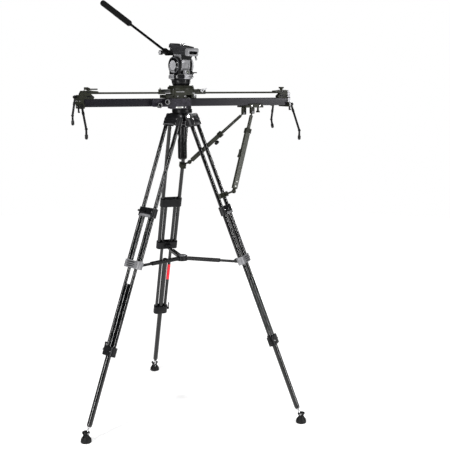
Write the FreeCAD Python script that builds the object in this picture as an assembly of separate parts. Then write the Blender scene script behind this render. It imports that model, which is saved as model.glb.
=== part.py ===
import FreeCAD, Part
import math
import os

# Camera slider on a two-stage tripod: one-metre beam, belt-guided carriage,
# fluid head with pan bar, two telescopic side braces and four fold-out beam legs.
# Millimetres. X runs along the beam, -Y is the front, Z is up. Heights are drawn from a datum
# FLOOR below the floor, and the finished parts are moved so that the feet stand on Z = 0.

os.makedirs("parts", exist_ok=True)
V = FreeCAD.Vector
X_AXIS = V(1, 0, 0)
Y_AXIS = V(0, 1, 0)
Z_AXIS = V(0, 0, 1)
PARTS = {}

FLOOR = 27.0          # the floor's height above the datum

# ---- clearances
RUN = 0.05            # radial clearance of a shaft in its bore
GAP = 0.4             # air between moving surfaces that do not bear

# ---- beam
BEAM_LEFT = -461.0
BEAM_LENGTH = 1000.0
BEAM_RIGHT = BEAM_LEFT + BEAM_LENGTH
BEAM_HALF = 45.0      # half depth
BEAM_HEIGHT = 35.0
BEAM_MID = 1515.0     # height of the beam's centre line
BEAM_TOP = BEAM_MID + BEAM_HEIGHT / 2
BEAM_BOTTOM = BEAM_MID - BEAM_HEIGHT / 2
WALL = 3.0
SLOT_HALF = 6.0       # half width of the top slot's mouth
SLOT_DEPTH = 12.0
KEEPER_HALF = 11.0    # half width of the undercut

# ---- belt
BELT_Y = -28.0
BELT_THICK = 2.0
BELT_LOW = 1554.0
BELT_HIGH = 1562.5

# ---- end brackets
END_THICK = 13.0
END_TOP = 1569.0
END_BOTTOM = 1490.0
END_STEP = 1536.0     # top of the end plate away from the belt tower
END_HALF = 50.0
TOWER_HALF = 16.0     # half width of the belt tower
TOWER_REACH = 50.0    # how far the tower's foot runs along the beam
TONGUE_REACH = 68.0   # how far its tongue covers the belt
PIVOT_Y = 60.0
EAR_HALF = 10.0
PIN_R = 3.0
LOCK_Y = -30.0        # lock lever on the end plate
LOCK_Z = 1500.0
LOCK_REACH = 27.0

# ---- fold-out beam legs
FOLD_R = 5.0
TOE_LENGTH = 24.0
TOE_BEND = 36.0       # the toe turns back towards the upright
EYE_R = 8.5
FOLD_LEGS = {         # beam end, front or back, pivot height, rest lean, inset from the end, length
    "left_front": (-1, -1, 1502.0, 36.0, 0.0, 118.0),
    "left_back": (-1, 1, 1540.0, 36.0, 0.0, 104.0),
    "right_front": (1, -1, 1502.0, 36.0, 0.0, 150.0),
    "right_back": (1, 1, 1502.0, 15.0, 36.0, 80.0),
}

# ---- carriage
CAR_X = 10.0          # centre of the carriage and head at rest
CAR_LEFT = CAR_X - 62.0
CAR_RIGHT = CAR_X + 49.0
GUIDE_LEFT = CAR_X - 117.0
GUIDE_RIGHT = CAR_X + 106.0
BRAKE_X = CAR_X + 86.0
BOWL_RING_R = 60.0
CAR_LOW = 1549.0
CAR_TOP = 1572.0
AXLE_R = 2.5
WHEEL_R = 7.7
WHEEL_Y = 32.0
WHEEL_WIDTH = 8.0
AXLE_Z = BEAM_TOP + GAP + WHEEL_R
WHEELS = {"left": CAR_X - 74.0, "right": CAR_X + 46.0}
TRUCKS = {"left": (CAR_X - 90.0, CAR_X - 36.0), "right": (CAR_X + 34.0, CAR_X + 59.0)}

# ---- saddle
SADDLE_LOW = BEAM_BOTTOM - 12
SADDLE_KNOBS = ((-122.0, 1504.0), (-87.0, 1518.0))
STUD_R = 6.0

# ---- head
HEAD_TURN = 20.0      # the head looks this far round from square to the beam
BALL_R = 44.0
BALL_Z = 1614.0
RING_R = 57.0
RING_TOP = 1642.0
TILT_Z = 1683.0
TILT_REST = 10.0      # the platform leans this far nose down
DRUM_R = 36.0
DRUM_HALF = 28.0
CHEEK_R = 40.0
CHEEK_OUT = 43.0
SEAT_LOW = 1735.0
SEAT_TOP = 1753.0
PLATE_TOP = 1783.0
PLATE_HALF = 28.0
PLATE_LONG = 70.0
BAR_SLOPE = 17.0      # from the platform
BAR_LENGTH = 552.0
BAR_R = 6.0
GRIP_LENGTH = 250.0
GRIP_R = 15.0
BAR_PIVOT = V(-46.0, 40.0, 1733.0)
BAR_CLAMP = 16.0      # width of the bar's clamp
RING_LOW = 1621.0
PAN_SHAFT_R = 12.0
TILT_SHAFT_R = 9.0
PAN_LEVER_X = 33.0
PAN_LEVER_Y = -42.0
PLATE_LEVER_Y = -44.0
CAMERA_SCREWS = ((-8.0, 4.76), (16.0, 3.175))
SHANK = 0.8           # captive shank over thread radius
PAD_CLEAR = 0.6       # the pad's holes round the screw threads

# ---- tripod
TRIPOD_X = 14.0       # the bowl's upright axis
BOWL_R = 47.0
BOWL_TOP = 1484.0
BOWL_LOW = 1465.5
HUB_LOW = 1434.0
SEAT_R = 37.5         # half-ball seat
HINGE_R = 47.0
HINGE_Z = 1452.0
FOOT_R = 588.0        # from the bowl's axis
FOOT_Z = FLOOR + 22.0  # centre of the ball in the foot
FOOT_BEARINGS = {"left": -68.3, "right": 48.3, "back": 176.0}
UPPER_X = 41.5
UPPER_TUBE_R = 9.0
MID_X = 23.0
MID_TUBE_R = 8.0
LOW_TUBE_R = 12.5
CASTING_HALF = 54.0
YOKE_S = 460.0        # distances down the leg from its hinge
BRACKET_S = 706.0
PLUG_S = 798.0
CLAMP_S = 1110.0
STUD = 56.0           # from the lower tube's end to the foot's ball
SHOULDER_TOP = 11.0
SHOULDER_STEP = -12.0
SHOULDER_LOW = -47.0
SPREADER_X = 7.0
FOOT_BALL_R = 9.0
FOOT_SLOT_HALF = 7.0  # half width of the fork that the spike leans in
FOOT_SLOT_LOW = 25.5
HUB_Z = 779.0

# ---- braces
BRACE_TOP_FRONT = V(358.0, -30.0, 1466.0)
BRACE_TOP_BACK = V(330.0, 4.0, 1461.0)
BRACE_FRONT = V(216.0, -138.0, 1105.0)
BRACE_BACK = V(92.0, 112.0, 1225.0)
BRACE_FRONT_S = 394.0  # where the clamps sit down the legs
BRACE_BACK_S = 259.0
BRACE_WALL = 1.5
BRACES = {            # top, lower end, start of the outer tube, outer and inner sections, holes
    "front": (BRACE_TOP_FRONT, BRACE_FRONT, 96.0, (23.0, 18.0), (14.0, 11.0), 5),
    "back": (BRACE_TOP_BACK, BRACE_BACK, 150.0, (18.0, 15.0), (12.0, 10.0), 9),
}
FRONT_LEVER_AT = 232.0
BACK_KNOB_AT = 192.0


def box(x0, x1, y0, y1, z0, z1):
    return Part.makeBox(x1 - x0, y1 - y0, z1 - z0, V(x0, y0, z0))


def rod(start, axis, radius, length):
    return Part.makeCylinder(radius, length, start, axis)


def taper(start, axis, radius_start, radius_end, length):
    return Part.makeCone(radius_start, radius_end, length, start, axis)


def ball(centre, radius):
    return Part.makeSphere(radius, centre)


def fuse(*shapes):
    return shapes[0].multiFuse(list(shapes[1:])).removeSplitter()


def cut(shape, *tools):
    return shape.cut(list(tools)).removeSplitter()


def round_along(shape, axis, radius):
    """Fillet every straight edge that runs along axis."""
    edges = []
    for edge in shape.Edges:
        if edge.Curve.TypeId != "Part::GeomLine":
            continue
        if abs(edge.tangentAt(edge.FirstParameter).dot(axis)) > 0.999:
            edges.append(edge)
    return shape.makeFillet(radius, edges)


def round_box(x0, x1, y0, y1, z0, z1, axis, radius):
    return round_along(box(x0, x1, y0, y1, z0, z1), axis, radius)


def profile_xz(points, y0, y1):
    corners = [V(x, y0, z) for x, z in points]
    face = Part.Face(Part.makePolygon(corners + corners[:1]))
    return face.extrude(V(0, y1 - y0, 0))


def revolve_z(points):
    """Turn an (r, z) outline about the Z axis."""
    corners = [V(r, 0, z) for r, z in points]
    face = Part.Face(Part.makePolygon(corners + corners[:1]))
    return face.revolve(V(0, 0, 0), Z_AXIS, 360)


def lobed(start, axis, radius, depth, lobes):
    """A hand knob: a disc with round scallops cut from its rim."""
    disc = rod(start, axis, radius, depth)
    side = axis.cross(V(0.3, 0.5, 0.8))
    side.normalize()
    up = axis.cross(side)
    scallops = []
    for k in range(lobes):
        angle = 2 * math.pi * k / lobes
        centre = start + (side * math.cos(angle) + up * math.sin(angle)) * radius * 1.18
        scallops.append(rod(centre, axis, radius * 0.36, depth))
    return cut(disc, *scallops)


def group(*shapes):
    return Part.makeCompound(list(shapes))


def placed(shape, x_dir, y_dir, origin):
    """Move a shape from its own axes to (x_dir, y_dir, x_dir x y_dir) at origin."""
    z_dir = x_dir.cross(y_dir)
    matrix = FreeCAD.Matrix(x_dir.x, y_dir.x, z_dir.x, origin.x,
                            x_dir.y, y_dir.y, z_dir.y, origin.y,
                            x_dir.z, y_dir.z, z_dir.z, origin.z,
                            0, 0, 0, 1)
    moved = shape.copy()
    moved.Placement = FreeCAD.Placement(matrix).multiply(shape.Placement)
    return moved


def add(name, shape):
    PARTS[name] = shape


# ---------------------------------------------------------------- beam
def make_beam():
    x0, x1 = BEAM_LEFT, BEAM_RIGHT
    half, low, top = BEAM_HALF, BEAM_BOTTOM, BEAM_TOP
    beam = round_box(x0, x1, -half, half, low, top, X_AXIS, 2.0)
    chamber_top = top - SLOT_DEPTH - WALL
    side_in = KEEPER_HALF + WALL
    tools = [
        box(x0, x1, -SLOT_HALF, SLOT_HALF, top - 5.0, top),
        box(x0, x1, -KEEPER_HALF, KEEPER_HALF, top - SLOT_DEPTH, top - 5.0),
        box(x0, x1, -KEEPER_HALF, KEEPER_HALF, low + WALL, chamber_top),
        box(x0, x1, side_in, half - 2 * WALL, low + WALL, top - WALL),
        box(x0, x1, 2 * WALL - half, -side_in, low + WALL, top - WALL),
    ]
    for side in (-1, 1):
        face = side * half
        inner = side * (half - 1.2)
        y0, y1 = min(face, inner), max(face, inner)
        tools.append(box(x0, x1, y0, y1, BEAM_MID - 9.5, BEAM_MID + 9.5))
    add("beam", cut(beam, *tools))


def make_belt():
    y0 = BELT_Y - BELT_THICK / 2
    y1 = BELT_Y + BELT_THICK / 2
    add("drive_belt", box(BEAM_LEFT + 8, BEAM_RIGHT - 8, y0, y1, BELT_LOW, BELT_HIGH))


def leg_ear(side, leg_end, pivot_z, inset):
    """Ear and pin that carry one fold-out leg, on an arm where the leg sits inboard."""
    end = BEAM_LEFT if side < 0 else BEAM_RIGHT
    root = end - side * inset
    y = leg_end * PIVOT_Y
    y0, y1 = sorted((leg_end * 44.0, leg_end * (PIVOT_Y + 8)))
    pieces = []
    rise = EAR_HALF
    if inset:
        y0, y1 = sorted((leg_end * (BEAM_HALF + 1.5), leg_end * (PIVOT_Y + 8)))
        rise = EAR_HALF + 7.0
        pieces.append(box(*sorted((root, end + side * 6.0)), y0, y1, pivot_z + EAR_HALF + 1, pivot_z + rise))
    x_in, x_out = sorted((root, root + side * 6.0))
    pieces.append(round_box(x_in, x_out, y0, y1, pivot_z - EAR_HALF, pivot_z + rise, X_AXIS, 4.0))
    axis = X_AXIS * side
    pieces.append(rod(V(root + side * 6.0, y, pivot_z), axis, PIN_R, 16.0))
    pieces.append(rod(V(root + side * 18.4, y, pivot_z), axis, 5.5, 3.6))
    return pieces


def end_block(side):
    """End plate, belt tower and the two ears that carry the fold-out legs."""
    end = BEAM_LEFT if side < 0 else BEAM_RIGHT
    near, far = sorted((end, end + side * END_THICK))
    plate = round_box(near, far, -END_HALF, END_HALF, END_BOTTOM, END_STEP, X_AXIS, 5.0)
    tower_y0, tower_y1 = BELT_Y - TOWER_HALF, BELT_Y + TOWER_HALF
    mast = profile_xz([(end, END_BOTTOM + 20), (end, END_TOP), (end + side * 5, END_TOP),
                       (end + side * END_THICK, END_TOP - 14), (end + side * END_THICK, END_BOTTOM + 20)],
                      tower_y0 - 2, tower_y1 + 2)
    tower_x = end - side * TOWER_REACH
    tongue_x = end - side * TONGUE_REACH
    outline = [
        (end, BEAM_TOP), (end, END_TOP), (end - side * 40, END_TOP),
        (tongue_x, BELT_HIGH + 4), (tongue_x, BELT_HIGH), (end - side * 36, BELT_LOW - 1),
        (tower_x + side * 4, BELT_LOW - 9), (tower_x, BELT_LOW - 14), (tower_x + side * 5, BEAM_TOP),
    ]
    tower = profile_xz(outline, tower_y0, tower_y1)
    web = profile_xz([(end, BEAM_TOP), (end, END_STEP), (end - side * 40, BEAM_TOP)], tower_y1, -BELT_Y)
    slot_y0, slot_y1 = BELT_Y - BELT_THICK / 2, BELT_Y + BELT_THICK / 2
    belt_slot = box(*sorted((end - side * 8, tongue_x)), slot_y0, slot_y1, BELT_LOW, BELT_HIGH)
    ears = []
    for leg_side, leg_end, pivot_z, _, inset, _ in FOLD_LEGS.values():
        if leg_side == side:
            ears += leg_ear(side, leg_end, pivot_z, inset)
    lever_pin = rod(V(end + side * END_THICK, LOCK_Y, LOCK_Z), X_AXIS * side, PIN_R, 12.0)
    knob_bore = rod(V(end - side * 26, BELT_Y, BELT_HIGH), Z_AXIS, PIN_R + RUN, 20)
    return cut(fuse(plate, mast, tower, web, lever_pin, *ears), belt_slot, knob_bore)


def make_tension_knobs():
    left_x = BEAM_LEFT + 26
    stem = rod(V(left_x, BELT_Y, BELT_HIGH), Z_AXIS, PIN_R, 12)
    low = END_TOP + GAP
    hub = rod(V(left_x, BELT_Y, low), Z_AXIS, 8.0, 12)
    wings = []
    for angle, length, lift in ((0, 42, 0), (135, 20, 6), (225, 20, 6)):
        wing = round_box(0, length, -3, 3, low + 3, low + 9 + lift, X_AXIS, 2.4)
        wing.rotate(V(0, 0, 0), Z_AXIS, angle)
        wing.translate(V(left_x, BELT_Y, 0))
        wings.append(wing)
    add("tension_knob_left", fuse(stem, hub, *wings))
    right_x = BEAM_RIGHT - 26
    stem = rod(V(right_x, BELT_Y, BELT_HIGH), Z_AXIS, PIN_R, 12)
    neck = taper(V(right_x, BELT_Y, low), Z_AXIS, 7.0, 8.0, 8)
    head = lobed(V(right_x, BELT_Y, low + 8), Z_AXIS, 13.0, 7, 6)
    add("tension_knob_right", fuse(stem, neck, head))


def make_leg_lock(side, name):
    end = BEAM_LEFT if side < 0 else BEAM_RIGHT
    x_in = end + side * (END_THICK + GAP)
    axis = X_AXIS * side
    x0, x1 = sorted((x_in + side * 3, x_in + side * 9))
    hub = rod(V(x_in, LOCK_Y, LOCK_Z), axis, 8.0, 10.0)
    arm = round_box(x0, x1, LOCK_Y - 4, LOCK_Y + 4, LOCK_Z - LOCK_REACH, LOCK_Z, X_AXIS, 3.5)
    tab = box(x0, x1, LOCK_Y - 12, LOCK_Y - 2, LOCK_Z - LOCK_REACH, LOCK_Z - LOCK_REACH + 6)
    bore = rod(V(x_in, LOCK_Y, LOCK_Z), axis, PIN_R + RUN, 12.0)
    add(name, cut(fuse(hub, arm, tab), bore))


def make_fold_leg(name, side, end_sign, pivot_z, rest, inset, length):
    """One stiff fold-out leg: eye, rod, knee and a rubber-tipped toe."""
    end = BEAM_LEFT if side < 0 else BEAM_RIGHT
    axis = X_AXIS * side
    eye = rod(axis * (6.0 + GAP), axis, EYE_R, 11.2)
    mid = axis * (6.0 + GAP + 5.6)
    knee_at = mid - Z_AXIS * length
    shank = rod(mid, Z_AXIS * -1, FOLD_R, length)
    collar = rod(mid - Z_AXIS * 30, Z_AXIS * -1, FOLD_R + 1.2, 12)
    knee = ball(knee_at, FOLD_R + 1.6)
    bend = math.radians(TOE_BEND)
    toe_axis = V(0, -end_sign * math.sin(bend), -math.cos(bend))
    toe = taper(knee_at, toe_axis, FOLD_R - 0.6, FOLD_R, TOE_LENGTH)
    tip_start = knee_at + toe_axis * TOE_LENGTH
    tip = rod(tip_start, toe_axis, 7.0, 14)
    dome = ball(tip_start + toe_axis * 14, 7.0)
    bore = rod(V(0, 0, 0), axis, PIN_R + RUN, 30)
    leg = cut(fuse(eye, shank, collar, knee, toe, tip, dome), bore)
    leg.rotate(V(0, 0, 0), X_AXIS, end_sign * rest)
    leg.translate(V(end - side * inset, end_sign * PIVOT_Y, pivot_z))
    add("fold_leg_" + name, leg)


# ---------------------------------------------------------------- carriage
def make_carriage():
    plate = round_box(CAR_LEFT, CAR_RIGHT, -52, 52, CAR_LOW, CAR_TOP, Z_AXIS, 14.0)
    belt_way = box(CAR_LEFT, CAR_RIGHT, BELT_Y - 10, BELT_Y + 10, CAR_LOW, BELT_HIGH + 3)
    fan = profile_xz([(CAR_X - 48, CAR_LOW), (CAR_X - 56, BEAM_TOP + 2), (CAR_X + 12, BEAM_TOP + 2),
                      (CAR_X + 4, CAR_LOW)], -52, -46.2)
    keeper_neck = box(CAR_X - 30, CAR_X + 28, -5.2, 5.2, BEAM_TOP - 8, CAR_LOW)
    keeper = box(CAR_X - 30, CAR_X + 28, -9.8, 9.8, BEAM_TOP - SLOT_DEPTH + 1.2, BEAM_TOP - 5.8)
    plate = fuse(cut(plate, belt_way), fan, keeper_neck, keeper)
    trucks = []
    for key, (left, right) in TRUCKS.items():
        block = round_box(left, right, -46, 46, BEAM_TOP + 1.5, CAR_LOW, Z_AXIS, 4.0)
        axle_x = WHEELS[key]
        tools = [rod(V(axle_x, -46, AXLE_Z), Y_AXIS, AXLE_R + RUN, 92)]
        for side in (-1, 1):
            y0, y1 = sorted((side * (WHEEL_Y - 5), side * (WHEEL_Y + 5)))
            tools.append(box(axle_x - 9, axle_x + 9, y0, y1, BEAM_TOP, CAR_LOW - 0.3))
        trucks.append(cut(block, *tools))
    add("carriage_castings", group(plate, *trucks, *belt_guides()))
    for key, axle_x in WHEELS.items():
        axle = rod(V(axle_x, -44, AXLE_Z), Y_AXIS, AXLE_R, 88)
        wheels = [rod(V(axle_x, side * WHEEL_Y - WHEEL_WIDTH / 2, AXLE_Z), Y_AXIS, WHEEL_R, WHEEL_WIDTH)
                  for side in (-1, 1)]
        add("wheelset_" + key, fuse(axle, *wheels))


def belt_guides():
    guides = []
    low = CAR_LOW + 3
    top = BELT_HIGH + 12
    ring_clear = rod(V(CAR_X, 0, CAR_TOP), Z_AXIS, BOWL_RING_R + GAP, 10.0)
    for x0, x1 in ((GUIDE_LEFT, CAR_LEFT), (CAR_RIGHT, GUIDE_RIGHT)):
        shell = round_box(x0, x1, BELT_Y - 12, BELT_Y + 12, low, top, X_AXIS, 3.0)
        way = box(x0, x1, BELT_Y - 7, BELT_Y + 7, low, BELT_HIGH + 4)
        guides.append(cut(shell, way, ring_clear))
    pin = rod(V(GUIDE_LEFT + 5, BELT_Y, top), Z_AXIS, 2.5, 7)
    guides[0] = fuse(guides[0], pin)
    pivot = V(BRAKE_X, BELT_Y - 12, BELT_HIGH + 5)
    guides[1] = fuse(guides[1], rod(pivot, V(0, -1, 0), PIN_R, 11))
    return guides


def make_brake_lever():
    eye = V(BRAKE_X, BELT_Y - 12 - GAP, BELT_HIGH + 5)
    hub = rod(eye, V(0, -1, 0), 6.5, 9)
    arm = round_box(0, 27, 2, 7, -2.6, 2.6, Y_AXIS, 2.0)
    arm.rotate(V(0, 0, 0), Y_AXIS, -24)
    arm.translate(V(eye.x, eye.y - 9, eye.z))
    bore = rod(eye, V(0, -1, 0), PIN_R + RUN, 12)
    add("carriage_brake_lever", cut(fuse(hub, arm), bore))


def make_bowl_ring():
    centre = V(CAR_X, 0, 0)
    ring = revolve_z([(24, CAR_TOP), (BOWL_RING_R, CAR_TOP), (BOWL_RING_R, CAR_TOP + 8),
                      (BOWL_RING_R - 4, CAR_TOP + 19), (24, CAR_TOP + 19)])
    ring.translate(centre)
    ring = cut(ring, ball(V(CAR_X, 0, BALL_Z), BALL_R + GAP))
    screw_pad = round_box(CAR_X - 62, CAR_X - 44, -14, 14, CAR_TOP, CAR_TOP + 14, Y_AXIS, 5.0)
    seat = ball(V(CAR_X, 0, BALL_Z), BALL_R + GAP)
    add("bowl_ring", cut(fuse(ring, screw_pad), seat))


# ---------------------------------------------------------------- saddle on the tripod
def make_saddle():
    low = SADDLE_LOW
    base = round_box(-38, 38, -60, 57, low, BEAM_BOTTOM, Z_AXIS, 6.0)
    front = round_box(-64, 37, -60, -BEAM_HALF, low, BEAM_TOP, Y_AXIS, 4.0)
    back = round_box(-34, 34, BEAM_HALF, 57, low, BEAM_TOP - 2, Y_AXIS, 4.0)
    jaw = round_box(-147, -64, -62, -BEAM_HALF, BEAM_MID - 19, BEAM_MID + 15, Y_AXIS, 4.0)
    core = box(TRIPOD_X - SEAT_R, TRIPOD_X + SEAT_R, -SEAT_R, SEAT_R, low - 15, low)
    cup = ball(V(TRIPOD_X, 0, low), SEAT_R - GAP).common(core)
    stud = rod(V(TRIPOD_X, 0, low - 76), Z_AXIS, STUD_R, 70)
    pins = [rod(V(x, -62, z), V(0, -1, 0), PIN_R, 20) for x, z in SADDLE_KNOBS]
    add("mount_saddle", fuse(base, front, back, jaw, cup, stud, *pins))
    for name, (x, z), radius in zip(("saddle_knob_outer", "saddle_knob_inner"), SADDLE_KNOBS, (13.5, 15.0)):
        start = V(x, -62 - GAP, z)
        neck = rod(start, V(0, -1, 0), radius * 0.6, 8)
        cap = lobed(start + V(0, -8, 0), V(0, -1, 0), radius, 16, 7)
        add(name, cut(fuse(neck, cap), rod(start, V(0, -1, 0), PIN_R + RUN, 21)))


# ---------------------------------------------------------------- head
def head_place(shape):
    turn = math.radians(HEAD_TURN)
    return placed(shape, V(math.cos(turn), math.sin(turn), 0), V(-math.sin(turn), math.cos(turn), 0),
                  V(CAR_X, 0, 0))


def platform_place(shape):
    """Lean a shape with the tilting platform, then turn it with the head."""
    leaning = shape.copy()
    leaning.rotate(V(0, 0, TILT_Z), X_AXIS, TILT_REST)
    return head_place(leaning)


def make_ball_base():
    centre = V(0, 0, BALL_Z)
    half_ball = ball(centre, BALL_R).common(box(-60, 60, -60, 60, CAR_TOP + 8, BALL_Z))
    flange = taper(centre, Z_AXIS, BALL_R + 1, BALL_R + 6, RING_LOW - GAP - BALL_Z)
    pivot = rod(V(0, 0, RING_LOW - GAP), Z_AXIS, PAN_SHAFT_R, 18)
    add("ball_base", head_place(fuse(half_ball, flange, pivot)))


def make_pan_housing():
    ring = revolve_z([(0, RING_LOW), (RING_R - 2, RING_LOW), (RING_R, RING_LOW + 3), (RING_R, RING_TOP - 5),
                      (RING_R - 3, RING_TOP - 3), (RING_R - 5, RING_TOP), (0, RING_TOP)])
    base = round_box(-CHEEK_OUT, CHEEK_OUT, -34, 34, RING_TOP, TILT_Z - DRUM_R - 1, Z_AXIS, 8.0)
    window = round_box(-14, 14, -48, -30, RING_TOP, RING_TOP + 18, Z_AXIS, 3.0)
    pieces = [ring, base, window]
    for side in (-1, 1):
        x0, x1 = sorted((side * (DRUM_HALF + GAP), side * CHEEK_OUT))
        pieces.append(box(x0, x1, -CHEEK_R + 8, CHEEK_R - 8, RING_TOP, TILT_Z))
        pieces.append(rod(V(x0, 0, TILT_Z), X_AXIS, CHEEK_R, x1 - x0))
    clear_drum = rod(V(-DRUM_HALF - GAP, 0, TILT_Z), X_AXIS, DRUM_R + GAP, 2 * (DRUM_HALF + GAP))
    shaft_bore = rod(V(-CHEEK_OUT, 0, TILT_Z), X_AXIS, TILT_SHAFT_R + RUN, 2 * CHEEK_OUT)
    pivot_bore = rod(V(0, 0, RING_LOW), Z_AXIS, PAN_SHAFT_R + RUN, 18)
    housing = cut(fuse(*pieces), clear_drum, shaft_bore, pivot_bore)
    brake_boss = rod(V(CHEEK_OUT, 0, TILT_Z + 22), X_AXIS, 7, 4)
    brake_pin = rod(V(CHEEK_OUT + 4, 0, TILT_Z + 22), X_AXIS, PIN_R, 12)
    pan_pin = rod(V(PAN_LEVER_X, PAN_LEVER_Y, RING_TOP - 4), Z_AXIS, PIN_R, 15)
    add("pan_housing", head_place(fuse(housing, brake_boss, brake_pin, pan_pin)))

    caps = []
    for side, radius, depth in ((-1, 33.0, 3.5), (1, 13.0, 4.0)):
        axis = X_AXIS * side
        start = V(side * CHEEK_OUT, 0, TILT_Z)
        disc = rod(start, axis, radius, depth)
        crown = taper(start + axis * depth, axis, radius, radius - 3, 2)
        caps.append(fuse(disc, crown))
    caps[0] = cut(caps[0], rod(V(-CHEEK_OUT - 8, 0, TILT_Z), X_AXIS, 25, 4))
    add("tilt_caps", head_place(group(*caps)))


def make_tilt_body():
    drum = rod(V(-DRUM_HALF, 0, TILT_Z), X_AXIS, DRUM_R, 2 * DRUM_HALF)
    grooves = []
    for x0, x1 in ((-DRUM_HALF, -DRUM_HALF + 3), (14, 17), (DRUM_HALF - 3, DRUM_HALF)):
        band = rod(V(x0, 0, TILT_Z), X_AXIS, DRUM_R, x1 - x0)
        grooves.append(cut(band, rod(V(x0, 0, TILT_Z), X_AXIS, DRUM_R - 3, x1 - x0)))
    shaft = rod(V(-CHEEK_OUT, 0, TILT_Z), X_AXIS, TILT_SHAFT_R, 2 * CHEEK_OUT)
    neck = round_box(-DRUM_HALF, DRUM_HALF, -33, 33, TILT_Z + 14, SEAT_LOW, X_AXIS, 6.0)
    seat = round_box(-31, 31, -60, 58, SEAT_LOW, SEAT_TOP, Z_AXIS, 7.0)
    nose = round_box(-31, 31, -76, -56, SEAT_LOW, SEAT_TOP + 18, X_AXIS, 8.0)
    nose_slot = round_box(-24, 24, -80, -66, SEAT_TOP - 9, SEAT_TOP + 5, Y_AXIS, 5.0)
    plate_way = box(-20, 20, -48, 48, SEAT_TOP - 5, SEAT_TOP)
    bar_boss = rod(V(-25, BAR_PIVOT.y, BAR_PIVOT.z), V(-1, 0, 0), 12, -25 - BAR_PIVOT.x)
    bar_screw = rod(BAR_PIVOT, V(-1, 0, 0), PIN_R, BAR_CLAMP + 5)
    lever_pin = rod(V(31, PLATE_LEVER_Y, SEAT_LOW + 9), X_AXIS, PIN_R, 11)
    body = fuse(cut(drum, *grooves), shaft, neck, seat, nose, bar_boss, bar_screw, lever_pin)
    add("tilt_body", platform_place(cut(body, nose_slot, plate_way)))


def make_camera_plate():
    pad_low, pad_top = PLATE_TOP - 14, PLATE_TOP - 9
    shoe = box(-19, 19, -20, 20, SEAT_TOP - 4.6, SEAT_TOP + GAP)
    plate = round_box(-PLATE_HALF, PLATE_HALF, -52, PLATE_LONG, SEAT_TOP + GAP, pad_low, Z_AXIS, 5.0)
    pad = round_box(-PLATE_HALF + 2, PLATE_HALF - 2, -50, PLATE_LONG - 4, pad_low, pad_top, Z_AXIS, 4.0)
    holes = []
    screws = []
    for y, radius in CAMERA_SCREWS:
        shank = SHANK * radius
        holes.append(rod(V(0, y, SEAT_TOP - 6), Z_AXIS, shank, 40))
        holes.append(rod(V(0, y, pad_low), Z_AXIS, radius + PAD_CLEAR, 10))
        screws.append(fuse(rod(V(0, y, pad_top - 18), Z_AXIS, shank, 18),
                           rod(V(0, y, pad_top), Z_AXIS, radius, PLATE_TOP - pad_top)))
    add("camera_plate", platform_place(cut(fuse(shoe, plate, pad), *holes)))
    add("camera_screws", platform_place(group(*screws)))


def pin_lever(root, axis, along, length, thick):
    """A short lever: hub on a pin at root, arm running along, plain round end."""
    width = axis.cross(along)
    hub = rod(V(0, 0, 0), Z_AXIS, 7.0, thick)
    arm = round_box(0, length, -3.5, 3.5, thick - 5, thick, X_AXIS, 1.5)
    end = rod(V(length, 0, thick - 5), Z_AXIS, 4.6, 5)
    lever = cut(fuse(hub, arm, end), rod(V(0, 0, 0), Z_AXIS, PIN_R + RUN, thick + 5))
    return placed(lever, along, width, root)


def unit(x, y, z):
    vector = V(x, y, z)
    vector.normalize()
    return vector


def make_head_levers():
    root = V(PAN_LEVER_X, PAN_LEVER_Y, RING_TOP + 1)
    add("pan_brake_lever", head_place(pin_lever(root, Z_AXIS, unit(0.9, -0.45, 0), 17, 9)))
    root = V(CHEEK_OUT + 4 + GAP, 0, TILT_Z + 22)
    add("tilt_brake_lever", head_place(pin_lever(root, X_AXIS, unit(0, -0.5, 0.87), 24, 9)))
    root = V(31 + GAP, PLATE_LEVER_Y, SEAT_LOW + 9)
    add("plate_lever", platform_place(pin_lever(root, X_AXIS, unit(0, -0.5, -0.87), 28, 9)))


def make_pan_bar():
    slope = math.radians(BAR_SLOPE)
    along = V(0, math.cos(slope), math.sin(slope))
    face_x = BAR_PIVOT.x - GAP
    inner_x = face_x - BAR_CLAMP
    pivot = V(face_x, BAR_PIVOT.y, BAR_PIVOT.z)
    jaw = round_box(inner_x, face_x, -12, 30, -11, 11, X_AXIS, 6.0)
    jaw.rotate(V(0, 0, 0), X_AXIS, BAR_SLOPE)
    jaw.translate(V(0, BAR_PIVOT.y, BAR_PIVOT.z))
    block = fuse(rod(pivot, V(-1, 0, 0), 13, BAR_CLAMP), jaw)
    bar_start = V((inner_x + face_x) / 2, BAR_PIVOT.y, BAR_PIVOT.z) + along * 14
    bore = rod(bar_start, along, BAR_R, 60)
    screw_bore = rod(V(face_x + 8, BAR_PIVOT.y, BAR_PIVOT.z), V(-1, 0, 0), PIN_R + RUN, 40)
    tube = rod(bar_start, along, BAR_R, BAR_LENGTH - GRIP_LENGTH + 20)
    add("pan_bar", platform_place(group(cut(block, bore, screw_bore), tube)))
    grip_start = bar_start + along * (BAR_LENGTH - GRIP_LENGTH)
    grip = rod(grip_start, along, GRIP_R, GRIP_LENGTH)
    rims = [edge for edge in grip.Edges if edge.Curve.TypeId == "Part::GeomCircle"]
    grip = grip.makeFillet(5.0, rims)
    add("foam_grip", platform_place(cut(grip, rod(grip_start, along, BAR_R, 20))))
    knob_at = V(inner_x - GAP, BAR_PIVOT.y, BAR_PIVOT.z)
    neck = rod(knob_at, V(-1, 0, 0), 6.5, 24)
    head = lobed(knob_at + V(-24, 0, 0), V(-1, 0, 0), 10.5, 13, 6)
    knob = cut(fuse(neck, head), rod(knob_at, V(-1, 0, 0), PIN_R + RUN, 14))
    add("bar_clamp_knob", platform_place(knob))


# ---------------------------------------------------------------- tripod
def foot_place(key):
    """Where a foot's middle stands on the floor."""
    turn = math.radians(FOOT_BEARINGS[key])
    return V(TRIPOD_X + FOOT_R * math.sin(turn), -FOOT_R * math.cos(turn), FLOOR)


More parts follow.
